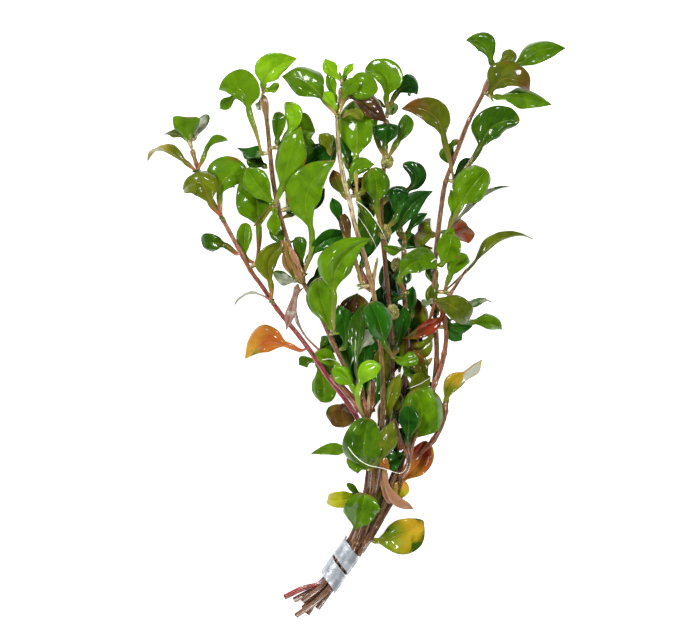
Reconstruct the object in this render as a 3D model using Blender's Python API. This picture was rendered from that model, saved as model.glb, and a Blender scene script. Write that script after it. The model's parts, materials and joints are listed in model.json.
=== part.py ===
"""A bunch of Alternanthera ficoidea cuttings for an aquarium, tied with a wound lead strip and lying down.

Seven cut stems run side by side through the strip and fan out above it. Leaves grow at the swollen
joints of the stems, singly or as sprigs: a bud with its two to four leaves. Lengths are in millimetres
in the tables and become metres when a mesh is made. +Z is up from the surface that the bunch lies on,
+Y runs from the tie to the shoot tips, and the origin is the lead strip's flat underside.
"""

import itertools
from math import cos, pi, radians, sin
from typing import NamedTuple

import bmesh
import bpy
from mathutils import Quaternion, Vector
from mathutils.bvhtree import BVHTree

METRES_PER_MM = 0.001
GAP = 0.3  # between pieces that touch

# Lead strip, wound round the stems
STRIP_WIDTH = 7.8
STRIP_THICKNESS = 0.9
STRIP_PITCH = 9.0
STRIP_BEND_SIDES = 12  # flats to a turn
STRIP_FLATS = 19  # flats in all, a little over one and a half turns, with the middle one underneath
TIE_HALF_LENGTH = 11.5  # the stretch where the stems run straight
TIE_ANGLE = radians(55)  # the bundle's direction in plan, from +X

# Stems
STEM_SIDES = 5  # faintly ribbed, as the real stem is
STEM_RADIUS = 1.15
STEM_TAPER = 0.25  # share of the radius lost by the shoot tip
JOINT_SWELL = 0.42
HEAD_SWELL = 1.35  # at a joint that carries a small flower head
JOINT_HALF_LENGTH = 2.0
CURVE_STEPS = 12  # samples to a span of a stem's route
RIB_TURN = radians(5)  # from one ring of a stem to the next
CLOSEST_RINGS = 0.9  # along a stem
PACKING = 2 * STEM_RADIUS + GAP + 0.1  # between the middles of two stems in the tie

# Leaves
STALK_RADIUS = 0.48
BLADE_HALF_THICKNESS = 0.3
LONG_STALK = 11.0  # over which a stalk gets one more ring
BUD_RADIUS = 1.4
BUD_STRETCH = 1.25  # length of a bud by its width
CLEARANCE = 0.32  # of a leaf from all but its own stem
FOLD = 14  # degrees that each half of a blade rises from the midrib
STEP = 1.0  # by which a leaf is raised or lowered until it is clear
MOST_STEPS = 12
FLAT = 0.001  # how nearly a resting piece's lowest point is at Z = 0
# Places on a blade, from 0 at its base over 1 where it is broadest to 2 at its tip, and the shares of the
# full half-width there, of a pointed leaf and of a round one
OUTLINE = ((0.33, 0.28, 0.46), (0.67, 0.74, 0.92), (1, 1, 1), (1.6, 0.55, 0.78))
SMALL_OUTLINE = ((0.5, 0.5, 0.68), (1, 1, 1), (1.6, 0.55, 0.78))
SMALL_LEAF = 8.5  # width under which the short outline will do
# Round a leaf: share of the half-width, and of the half-thickness, from the left edge over the top
SECTION = ((-1, 0), (-0.48, 0.9), (0.48, 0.9), (1, 0), (0.38, -0.9), (-0.38, -0.9))
SHARP_ANGLE = radians(40)  # an edge that bends more is shaded as an edge


class Finish(NamedTuple):
    name: str
    colour: tuple
    roughness: float
    metallic: float = 0


GREEN = Finish("leaf_green", (0.13, 0.30, 0.03), 0.3)
DARK = Finish("leaf_dark", (0.03, 0.14, 0.02), 0.3)
OLIVE = Finish("leaf_olive", (0.24, 0.25, 0.03), 0.35)
YELLOW = Finish("leaf_yellow", (0.50, 0.46, 0.05), 0.35)
ORANGE = Finish("leaf_orange", (0.62, 0.28, 0.06), 0.4)
BROWN = Finish("leaf_brown", (0.20, 0.10, 0.03), 0.35)
RED = Finish("leaf_red", (0.40, 0.06, 0.02), 0.35)
GREY = Finish("leaf_faded", (0.42, 0.42, 0.33), 0.5)
STEM_RED = Finish("stem_red", (0.45, 0.08, 0.08), 0.4)
STEM_BROWN = Finish("stem_brown", (0.40, 0.20, 0.11), 0.45)
STEM_PALE = Finish("stem_pale", (0.55, 0.47, 0.22), 0.45)
LEAD = Finish("lead", (0.47, 0.51, 0.54), 0.35, 1)


class Stem(NamedTuple):
    """A cut stem: points for its cut end and for its route above the tie, from low to high.

    place is its bearing in the tie's cross-section, in degrees, or None for the middle. joints and heads
    number the route's points where leaves grow and where small flower heads sit.
    """

    place: float | None
    cut: tuple
    route: tuple
    joints: tuple
    heads: tuple = ()
    finish: Finish = STEM_BROWN


STEMS = {
    "stem_left": Stem(
        place=180,
        cut=((-22.6, -13.2, 3.4), (-14.8, -9.4, 4.6)),
        route=((8.2, 20.5, 6.5), (10.8, 33, 7.5), (11.4, 46, 8.5), (8, 57.5, 9), (1.8, 67.5, 8.8),
               (-4.8, 76, 8.6), (-9.6, 83.2, 8.6), (-16.2, 92.2, 8.8), (-25.4, 103.6, 9),
               (-31.2, 112.4, 9.2), (-36.2, 119.4, 9.6), (-41.6, 129.2, 10.2),
               (-47.2, 139.6, 11.2), (-51.6, 147.4, 12), (-55.2, 154.6, 12.8), (-57.8, 162, 14),
               (-59.4, 167.6, 15.4)),
        joints=(6, 8, 10, 12, 15),
        finish=STEM_RED,
    ),
    "stem_mid_left": Stem(
        place=120,
        cut=((-15.2, -14.6, 6.2), (-10.8, -11.2, 7)),
        route=((9.2, 20, 10.5), (11.8, 32, 13.5), (12.6, 45, 16.5), (10.8, 60, 19.2), (7.2, 69.2, 20),
               (1.6, 81.4, 20.4), (-3.2, 91, 20.6), (-7.4, 100.4, 20.8), (-11.6, 108.6, 21),
               (-15.4, 115.6, 21), (-19.8, 127.6, 21.4), (-22.8, 137.2, 22), (-24.8, 145, 22.4),
               (-26.8, 155.5, 23), (-28, 167, 23.6), (-29.2, 179, 24.8), (-30.4, 188.6, 26)),
        joints=(3, 6, 9, 12, 14),
        heads=(9,),
        finish=STEM_PALE,
    ),
    "stem_centre": Stem(
        place=60,
        cut=((-18, -20.6, 5.4), (-9.6, -14.4, 6.8)),
        route=((11.6, 19.5, 12.5), (14.4, 31.5, 15.5), (16, 44, 18.5), (16.8, 56, 21), (17.2, 69, 23),
               (16.6, 84, 25.4), (15, 100, 28.4), (12.8, 112, 31), (10.4, 122.4, 32.6), (7.6, 131.2, 33.4),
               (5.2, 140, 34), (3.6, 147.4, 34), (1.4, 155.5, 34), (0, 163.5, 34), (-0.8, 171.5, 34.4),
               (-0.9, 179.4, 35), (0.2, 186.4, 36), (0.6, 190.8, 37)),
        joints=(3, 7, 11, 15),
        finish=STEM_PALE,
    ),
    "stem_mid_right": Stem(
        place=None,
        cut=((-15, -17.8, 3), (-10.8, -13.4, 4)),
        route=((11.2, 19.5, 8.2), (14, 31.5, 10.5), (16.4, 44, 12.5), (19, 56, 14.5), (20.8, 70, 16.5),
               (20.8, 86, 18.8), (19.8, 102, 20.4), (18.6, 115, 21.4), (17.8, 125, 22), (16.9, 134, 22.4),
               (16.4, 143.5, 23), (17, 153.5, 23.4), (17.6, 162, 24), (17.9, 170.5, 24.5),
               (18.6, 179, 25.4)),
        joints=(3, 6, 9, 12),
        heads=(6, 9, 12),
        finish=STEM_BROWN,
    ),
    "stem_short": Stem(
        place=-60,
        cut=((-13.4, -20.2, 1.4), (-9.4, -14.0, 1.9)),
        route=((12.6, 18.5, 4.5), (16, 30.5, 5.5), (19.2, 43, 7), (22.4, 55, 8.5), (25.2, 68, 10.2),
               (27, 83, 12), (26.8, 97, 13.6), (25.6, 110, 15), (25.2, 121, 16.2), (25.8, 127.5, 17.2)),
        joints=(4, 7),
        heads=(8,),
    ),
    "stem_right": Stem(
        place=0,
        cut=((-9.2, -17.8, 3), (-6.2, -13.6, 3.9)),
        route=((14.2, 18, 7.2), (18.8, 30, 9), (24, 42.5, 11), (31, 54, 12.5), (36.4, 67, 14),
               (38.8, 83, 15), (38.4, 96, 16), (37.6, 109.4, 17), (38, 121, 18), (39.3, 134, 19),
               (40.5, 144, 19.6), (42.2, 154.4, 20.4), (45.4, 163, 21.4), (48.6, 171.6, 22.4),
               (51.4, 178.6, 23.4), (56.2, 187.8, 25), (60.8, 196.2, 27)),
        joints=(3, 5, 7, 9, 11, 14),
    ),
    "stem_low": Stem(
        place=-120,
        cut=((-18.8, -14.6, 1.4), (-12.6, -11.2, 1.9)),
        route=((9.6, 21, 3.5), (12.6, 33, 4), (14.6, 45, 4.6), (16, 57, 5.4), (17.2, 66, 6.4)),
        joints=(1, 2),
    ),
}


class Leaf(NamedTuple):
    """A leaf, from its start through the middle of its blade, via, to its tip.

    stem and at say which stem it leaves, and where in plan; a sprig's leaves start in its bud instead.
    neck is where the blade starts. Without it, stalk is the bare share of the length. face is the way that
    the upper side looks at the middle of the blade, and broad the share of the blade up to its broadest
    place. fold is the rise of each half in degrees, curl how far the edges turn down again as a share of the
    half-width, twist the turn from base to tip in degrees, and blunt is 1 for round ends. lean is how much
    wider the half on the left is than the mean of both, and how much narrower the other, as a share. A leaf
    that rests touches the surface that the bunch lies on.
    """

    via: tuple
    tip: tuple
    width: float
    stem: str = ""
    at: tuple = ()
    neck: tuple = ()
    face: tuple = (0, 0, 1)
    stalk: float = 0.18
    broad: float = 0.6
    fold: float = FOLD
    curl: float = 0.1
    twist: float = 0
    blunt: float = 0.3
    lean: float = 0
    finish: Finish = GREEN
    rests: bool = False


class Sprig(NamedTuple):
    """A bud with the leaves that grow out of it, beside a stem's joint or, with no place given, at its end.

    at is the joint's place in plan, and points is the way that the bud leaves the stem.
    """

    stem: str
    leaves: tuple
    at: tuple = ()
    points: tuple = ()


SPRIGS = {
    "tip_left": Sprig(
        "stem_left",
        leaves=(
            Leaf((-61.2, 174.4, 19), (-61, 180.4, 24), 10.4, stalk=0.05, curl=0.3, broad=0.85, blunt=1,
                 finish=OLIVE),
            Leaf((-56, 177, 16), (-52.8, 181.6, 15), 4.4, blunt=0.9),
            Leaf((-65, 173.6, 14), (-71.2, 174, 12), 5.1, face=(0.3, 0.8, 0.5), broad=0.4, finish=OLIVE),
        ),
    ),
    "pair_left_top": Sprig(
        "stem_left",
        at=(-56.8, 158.6),
        points=(-0.4, 0.2, 1),
        leaves=(
            Leaf((-67.2, 166.4, 13), (-79.6, 166, 3), 7.4, neck=(-61.6, 162.2, 15.5), face=(0.2, 0.7, 1),
                 broad=0.5, blunt=0.6, finish=YELLOW, rests=True),
            Leaf((-51.2, 169.8, 17), (-45.2, 171.2, 15), 5.8, neck=(-54.6, 164.6, 17.6),
                 face=(-0.5, 0.4, 1), fold=30, broad=0.7, blunt=1),
        ),
    ),
    "sprig_left_upper": Sprig(
        "stem_left",
        at=(-47.2, 139.6),
        points=(-0.3, 0.5, 1),
        leaves=(
            Leaf((-55.8, 153.8, 18), (-63.8, 151.4, 15), 11.2, neck=(-51.8, 146, 17), lean=-0.1,
                 broad=0.45, blunt=1, finish=OLIVE),
            Leaf((-45.4, 156.6, 15), (-35.2, 155.4, 14), 13, neck=(-48.4, 149.2, 14.6), lean=0.25,
                 broad=0.4, blunt=0.5),
        ),
    ),
    "sprig_left_middle": Sprig(
        "stem_left",
        at=(-36.2, 119.4),
        points=(1, 0.4, 0.3),
        leaves=(
            Leaf((-33.4, 147, 17), (-33.4, 160, 18), 13.4, neck=(-32.6, 136, 15), lean=0.1, broad=0.5,
                 blunt=1),
            Leaf((-38.6, 131.2, 8), (-38, 138.6, 7), 6, neck=(-38.6, 124.6, 9), blunt=1),
        ),
    ),
    "pair_left_middle": Sprig(
        "stem_left",
        at=(-27, 105.8),
        points=(0, 0, 1),
        leaves=(
            Leaf((-29, 121.6, 15), (-18.2, 131, 18), 8.4, neck=(-27.8, 113.6, 14), face=(0.3, -0.2, 1),
                 lean=0.25, broad=0.38, blunt=0.4, finish=OLIVE),
            Leaf((-35.6, 110, 8), (-44, 104.8, 5), 5, face=(0.5, 0.9, 0.3), stalk=0.3, broad=0.25,
                 finish=GREY),
        ),
    ),
    "pair_left_lower": Sprig(
        "stem_left",
        at=(-10.6, 85),
        points=(0.6, 0.4, 0.6),
        leaves=(
            Leaf((-17.4, 101.4, 12.4), (-15.8, 112.6, 15), 7.6, neck=(-14.6, 93.6, 12),
                 face=(-1, -0.1, 0.35), blunt=0.6, finish=BROWN),
            Leaf((-5.6, 88.4, 12), (-2.4, 91.6, 12), 8.4, stalk=0.12, blunt=0.8),
        ),
    ),
    "sprig_left_lower": Sprig(
        "stem_left",
        at=(-9.2, 83.2),
        points=(0.2, -0.5, -1),
        leaves=(
            Leaf((-6.6, 72.6, 3.4), (-7.2, 65.4, 1), 9.6, stalk=0.1, broad=0.65, blunt=0.9, rests=True),
            Leaf((-13.2, 82.8, 4), (-16.8, 80.8, 2.6), 5, stalk=0.1, blunt=0.2),
            Leaf((-3, 78.6, 5), (1.6, 77.4, 4), 7, stalk=0.15),
        ),
    ),
    "tip_mid_left": Sprig(
        "stem_mid_left",
        leaves=(
            Leaf((-29.6, 194.8, 30), (-17.2, 203.2, 28), 11, stalk=0.06, lean=0.25, broad=0.45, blunt=0.2),
            Leaf((-27.4, 191.2, 24), (-24.4, 193.8, 22), 3.9, blunt=0.8),
            Leaf((-32.8, 184.6, 22), (-34, 185.6, 18), 3.4, finish=OLIVE),
        ),
    ),
    "pair_mid_left_top": Sprig(
        "stem_mid_left",
        at=(-28, 165.6),
        points=(-1, 0.2, 0.4),
        leaves=(
            Leaf((-38.6, 190, 27), (-49.2, 191.2, 23), 12, neck=(-36.2, 182.6, 26), lean=-0.32, broad=0.42,
                 blunt=0.3),
            Leaf((-34, 164, 19), (-41.2, 168.8, 16), 8.4, face=(0.3, 0.6, 1), stalk=0.04, broad=0.5,
                 finish=DARK),
        ),
    ),
    "sprig_mid_left_top": Sprig(
        "stem_mid_left",
        at=(-28, 167),
        points=(1, 0.3, 0.4),
        leaves=(
            Leaf((-24.6, 176, 28), (-24, 181.8, 29), 5.2, stalk=0.19, broad=0.7, blunt=1, finish=DARK),
            Leaf((-18.4, 179.6, 26), (-21.6, 186, 27), 7, neck=(-21, 173, 26), lean=-0.1, blunt=0.8),
            Leaf((-16.6, 174, 22.4), (-9.6, 174.6, 20), 10.4, neck=(-21.4, 170, 22.6), lean=0.1, blunt=0.5),
        ),
    ),
    "sprig_mid_left_upper": Sprig(
        "stem_mid_left",
        at=(-24.8, 145),
        points=(-0.4, 0, 1),
        leaves=(
            Leaf((-20.2, 162.6, 29), (-16, 176, 31), 12, neck=(-23.6, 150.8, 27), broad=0.5, blunt=0.4),
            Leaf((-31.4, 151.4, 24), (-37.2, 160, 24), 10.6, stalk=0.08, blunt=0.7),
            Leaf((-26, 138.6, 24), (-26, 133, 23), 5.8, stalk=0.12, blunt=0.6),
            Leaf((-29.8, 142, 26), (-34.6, 136, 23), 4, face=(0.5, -0.4, 1), stalk=0.1, finish=BROWN),
        ),
    ),
    "sprig_mid_left_side": Sprig(
        "stem_mid_left",
        at=(-24, 142),
        points=(1, 0.2, 0.2),
        leaves=(
            Leaf((-12.2, 161.6, 20), (-1.8, 168.4, 19), 12.4, neck=(-20, 152, 20.6), broad=0.5, blunt=0.4,
                 finish=DARK),
            Leaf((-21.2, 143.2, 20), (-18.4, 141, 18), 3.4, stalk=0.1, finish=DARK),
            Leaf((-7, 163, 14), (-3.6, 173.6, 15), 8.6, neck=(-15.6, 153.6, 15.6), blunt=0.7),
        ),
    ),
    "sprig_mid_left_middle": Sprig(
        "stem_mid_left",
        at=(-15.4, 115.6),
        points=(0.2, 0.2, 1),
        leaves=(
            Leaf((-13.6, 146.8, 28), (-1.4, 162.8, 31), 14, neck=(-11.2, 134, 26), lean=0.2, broad=0.5,
                 blunt=0.2),
            Leaf((-7.2, 130, 25), (4, 132.8, 25), 7.8, neck=(-12.4, 123.8, 24), blunt=0.5, finish=DARK),
            Leaf((-16, 127.4, 24), (-16, 132.2, 25), 5.4, stalk=0.3, broad=0.8, blunt=1),
            Leaf((-22.2, 115.6, 19), (-26.4, 118.4, 14), 5.2, stalk=0.19, blunt=0.8, finish=GREY),
        ),
    ),
    "pair_mid_left_lower": Sprig(
        "stem_mid_left",
        at=(-4, 93),
        points=(0.6, 0.3, 0.8),
        leaves=(
            Leaf((-1.6, 118.8, 37), (12.2, 131.6, 40), 13.4, neck=(-2.4, 109.4, 33), lean=0.15, broad=0.42,
                 blunt=0.2),
            Leaf((-7.4, 107.6, 25), (-8.4, 116, 27), 12, stalk=0.14, blunt=0.7),
            Leaf((2.4, 101.6, 15), (7.2, 110, 14), 7.6, stalk=0.2, finish=BROWN),
        ),
    ),
    "sprig_mid_left_lower": Sprig(
        "stem_mid_left",
        at=(10.8, 60),
        points=(-0.2, 0, 1),
        leaves=(
            Leaf((1.6, 76.8, 25), (-3.2, 79.6, 26), 6.8, neck=(5, 72.4, 24), blunt=0.8),
            Leaf((11.4, 78.6, 30), (16.4, 81, 31), 7.2, neck=(7.8, 73, 29), lean=0.1, blunt=0.7),
            Leaf((14.2, 69.6, 14), (15, 80, 13), 8, stalk=0.2, finish=DARK),
        ),
    ),
    "tip_centre": Sprig(
        "stem_centre",
        leaves=(
            Leaf((-3, 196.8, 40), (-5.8, 202, 42), 5.4, stalk=0.1, blunt=0.4),
            Leaf((2.8, 197, 40), (5.4, 199.8, 42), 3.4, stalk=0.12),
            Leaf((8.2, 191.2, 38), (14.6, 189.8, 35), 10, face=(0.1, 0.3, 1), stalk=0.06, broad=0.5,
                 blunt=0.7),
        ),
    ),
    "pair_centre": Sprig(
        "stem_centre",
        at=(-0.9, 178.6),
        points=(0, 0, 1),
        leaves=(
            Leaf((-12.4, 192.2, 37), (-23.4, 196.2, 34), 12.6, neck=(-6, 185.8, 38), lean=-0.1, broad=0.45,
                 blunt=0.35),
            Leaf((10.8, 184.2, 33), (18.6, 177.4, 30), 8.4, neck=(3.4, 187.4, 37), face=(0.2, 0.4, 1),
                 broad=0.5, finish=BROWN),
        ),
    ),
    "sprig_centre_upper": Sprig(
        "stem_centre",
        at=(3.6, 147.4),
        points=(1, 0.3, -0.4),
        leaves=(
            Leaf((6.8, 175.6, 29), (4.8, 186.8, 28), 12.8, neck=(6.4, 163.4, 29), broad=0.5, blunt=0.9),
            Leaf((5.6, 160.6, 25), (1, 163.6, 25), 6.4, neck=(4.6, 154.2, 26), blunt=0.8),
            Leaf((11.4, 153.4, 28), (15.6, 156.6, 26), 7.6, neck=(8.6, 150, 30), blunt=0.6, finish=BROWN),
            Leaf((10.8, 136.8, 27), (12.8, 128.6, 25), 8, stalk=0.12, blunt=0.5),
        ),
    ),
    "sprig_centre_lower": Sprig(
        "stem_centre",
        at=(12.8, 112),
        points=(-1, 0.5, -0.2),
        leaves=(
            Leaf((2.4, 136, 31.6), (1.6, 141.6, 31), 4.2, neck=(4, 130, 31.6), blunt=0.7, finish=BROWN),
            Leaf((-1.2, 142.8, 27), (-3.2, 148.2, 26), 4.6, neck=(1, 136.6, 27.4), finish=DARK),
        ),
    ),
    "tip_mid_right": Sprig(
        "stem_mid_right",
        leaves=(
            Leaf((18.8, 194.4, 28), (9.8, 199.2, 27), 9.8, neck=(18.4, 187.6, 28), lean=-0.2, broad=0.5,
                 blunt=0.9, finish=OLIVE),
            Leaf((27.2, 193, 24), (31, 189, 22), 8.2, neck=(22.4, 189.2, 25), broad=0.5, blunt=0.4,
                 finish=DARK),
            Leaf((21, 182.2, 20), (20, 187, 17), 5, broad=0.5, blunt=0.7),
        ),
    ),
    "sprig_mid_right": Sprig(
        "stem_mid_right",
        at=(17.6, 162),
        points=(0.3, 0.2, 1),
        leaves=(
            Leaf((18.4, 173.4, 28), (18.2, 177.4, 28), 9, neck=(17.9, 168.4, 27), broad=0.8, blunt=1,
                 finish=DARK),
            Leaf((26, 175.8, 24), (26.2, 181.4, 22), 5.8, neck=(22.6, 169.8, 25), blunt=0.8),
            Leaf((13.8, 181.4, 21), (16.4, 186.6, 21), 4.4, neck=(14.4, 173.6, 22)),
        ),
    ),
    "pair_mid_right": Sprig(
        "stem_mid_right",
        at=(16.8, 134),
        points=(0, 0, 1),
        leaves=(
            Leaf((14.6, 152.4, 29), (12.6, 159.4, 31), 10, neck=(14.6, 145.6, 27.6), broad=0.55, blunt=0.9),
            Leaf((10, 128.6, 22), (8.2, 124.4, 21), 5.6, stalk=0.2, finish=DARK),
            Leaf((23.2, 148.6, 25), (23.2, 152.8, 25), 7.6, neck=(22.4, 140, 25), broad=0.8, blunt=1,
                 finish=DARK),
        ),
    ),
    "pair_mid_right_lower": Sprig(
        "stem_mid_right",
        at=(20.8, 84),
        points=(0, 0, 1),
        leaves=(
            Leaf((14.8, 99.8, 33), (11.8, 106.2, 34), 10.6, neck=(17.8, 90, 30), blunt=1, finish=DARK),
            Leaf((25, 83, 25), (30.8, 85, 26), 5.8, stalk=0.1, broad=0.8, blunt=1),
            Leaf((24.8, 96.4, 20), (26, 105, 19), 6, stalk=0.2, finish=DARK),
        ),
    ),
    "tip_short": Sprig(
        "stem_short",
        leaves=(
            Leaf((26.4, 142, 23), (37.2, 150.8, 24), 8.4, neck=(23.6, 134.4, 22), lean=0.1, broad=0.45,
                 blunt=0.1),
            Leaf((30, 138.6, 19), (35.2, 142, 18), 3.8, stalk=0.2, finish=DARK),
            Leaf((20.6, 127.4, 27), (16.8, 128.8, 28), 4, stalk=0.25),
            Leaf((30.6, 155.6, 18), (25.2, 161.8, 20), 7, neck=(26.4, 150.6, 17.6), face=(0.4, -0.3, 1),
                 fold=24, lean=-0.2, blunt=0.9, finish=DARK),
        ),
    ),
    "sprig_short": Sprig(
        "stem_short",
        at=(25.6, 110),
        points=(0.4, 0.2, 1),
        leaves=(
            Leaf((29, 122, 25), (39, 119.6, 19), 9.8, neck=(23.8, 116, 25), lean=0.15, broad=0.45,
                 blunt=0.5),
            Leaf((25.2, 115.6, 18.6), (24.8, 119.2, 18), 7.8, neck=(25.4, 112.6, 18.6), fold=6, blunt=1,
                 finish=DARK),
            Leaf((20.6, 108.4, 20), (17.8, 110.8, 19), 5.2, stalk=0.2, blunt=1),
        ),
    ),
    "tip_right": Sprig(
        "stem_right",
        leaves=(
            Leaf((58.2, 207.4, 30), (49.6, 210.6, 28), 7.8, neck=(60.2, 201.4, 29), lean=-0.15, broad=0.5),
            Leaf((67, 203.4, 26), (69.8, 206.4, 25), 5.8, stalk=0.19, blunt=1, finish=OLIVE),
            Leaf((78.2, 205.6, 29), (90, 207.4, 26), 9, neck=(68.6, 200, 27), broad=0.45, blunt=0.5),
        ),
    ),
    "sprig_right_top": Sprig(
        "stem_right",
        at=(57, 189.4),
        points=(0.9, -0.3, 0.4),
        leaves=(
            Leaf((65, 194.6, 31), (76.6, 190, 27), 9.8, stalk=0.06, lean=0.35, broad=0.35, blunt=0.6,
                 finish=OLIVE),
            Leaf((71.6, 187.8, 22), (85.4, 185.4, 17), 7.8, stalk=0.12, broad=0.4, blunt=0),
        ),
    ),
    "sprig_right_upper": Sprig(
        "stem_right",
        at=(42.2, 154.4),
        points=(1, -0.3, 0.2),
        leaves=(
            Leaf((38.4, 179.4, 25), (23.6, 183.6, 21), 10, neck=(41.6, 170.8, 24), lean=-0.2, broad=0.42,
                 finish=OLIVE),
            Leaf((60, 175.6, 24), (71.6, 179.2, 21), 12.2, neck=(55.6, 167.6, 22), lean=0.2, broad=0.45,
                 blunt=0.9),
            Leaf((49.8, 161.4, 18), (53.6, 163.8, 17), 4.8, stalk=0.15, finish=DARK),
        ),
    ),
    "sprig_right_middle": Sprig(
        "stem_right",
        at=(39.3, 134),
        points=(1, 0, 0.5),
        leaves=(
            Leaf((52.4, 152, 27), (58.6, 159, 28), 13.8, neck=(48.4, 145.2, 25.6), fold=24, lean=0.1,
                 broad=0.42, blunt=1),
            Leaf((56, 147.4, 18), (69.2, 154.4, 15), 6.4, face=(-0.3, 0.8, 0.5), stalk=0.2, broad=0.4,
                 finish=GREY),
            Leaf((45.2, 146.8, 24), (44, 151.4, 25), 4.6, stalk=0.3),
            Leaf((47, 134.8, 14), (51.8, 137, 11), 13, stalk=0.05, broad=0.55, blunt=1, finish=RED),
        ),
    ),
    "sprig_right_side": Sprig(
        "stem_right",
        at=(37.6, 109.4),
        points=(1, 0, -0.2),
        leaves=(
            Leaf((46.6, 121.4, 18), (52, 124, 17), 7.4, neck=(44, 116.6, 17), lean=0.1, broad=0.55,
                 blunt=1),
            Leaf((61.6, 130.2, 12.6), (79.4, 132.8, 4), 7.6, neck=(53.8, 122, 13.6),
                 face=(-0.3, 0.9, 0.55), twist=30, lean=0.2, broad=0.3, finish=OLIVE, rests=True),
        ),
    ),
    "sprig_right_front": Sprig(
        "stem_right",
        at=(37.6, 108.6),
        points=(0, 0, 1),
        leaves=(
            Leaf((44.6, 104.8, 24), (52.6, 98.4, 19), 9.4, face=(0.2, 0.2, 1), stalk=0.02, broad=0.55,
                 blunt=0.6, finish=OLIVE),
            Leaf((34.8, 96.4, 21), (25.2, 91.2, 20), 8, neck=(41, 101, 20), face=(0.3, -0.5, 1),
                 fold=24, broad=0.4, finish=RED),
            Leaf((34.6, 105.8, 21), (32.6, 107.6, 19), 3.2, finish=GREY),
        ),
    ),
    "sprig_right_under": Sprig(
        "stem_right",
        at=(38.4, 96),
        points=(1, 0, -0.6),
        leaves=(
            Leaf((53, 105.6, 13), (61.4, 107.4, 9), 6.4, neck=(47.4, 102, 13), face=(-0.2, 0.9, 0.5),
                 blunt=0.8, finish=GREY),
            Leaf((59, 98.8, 8), (66.4, 95.2, 3), 6.4, neck=(52.8, 98.2, 9), broad=0.45, rests=True),
            Leaf((47.4, 96.2, 17), (53.2, 97, 15), 5.2, stalk=0.15, finish=DARK),
        ),
    ),
    "sprig_right_lower": Sprig(
        "stem_right",
        at=(26.6, 47),
        points=(0.2, -0.4, 1),
        leaves=(
            Leaf((32.6, 60.8, 22), (29.4, 71.6, 24), 17, neck=(29.2, 51.6, 21), broad=0.55, blunt=1),
            Leaf((27.4, 58.4, 28), (26.8, 65.8, 29.6), 7.6, neck=(27, 52, 26), blunt=0.7, finish=DARK),
            Leaf((21.8, 43.4, 17), (17.6, 40, 15), 8, stalk=0.15, finish=DARK),
        ),
    ),
    "sprig_low_upper": Sprig(
        "stem_mid_left",
        at=(12.2, 39),
        points=(-0.2, 0, 1),
        leaves=(
            Leaf((9.6, 51.4, 26), (11.6, 60.4, 27), 14.6, stalk=0.06, lean=0.1, broad=0.5, blunt=0.9),
            Leaf((18.4, 51.4, 28.6), (21.2, 59.6, 30.6), 8, stalk=0.12, finish=OLIVE),
            Leaf((7.6, 41.8, 17), (3.6, 40, 16), 8.4, stalk=0.05, broad=0.7, blunt=1),
        ),
    ),
    "sprig_low": Sprig(
        "stem_left",
        at=(10, 29),
        points=(-1, 0.2, 0.6),
        leaves=(
            Leaf((5, 31.4, 13), (2.6, 33.6, 13), 3, stalk=0.1, blunt=0.8),
            Leaf((2.4, 27, 13), (-5.4, 27.2, 9), 6.4, stalk=0.06, broad=0.5, blunt=0.9, finish=YELLOW),
        ),
    ),
}

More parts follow.
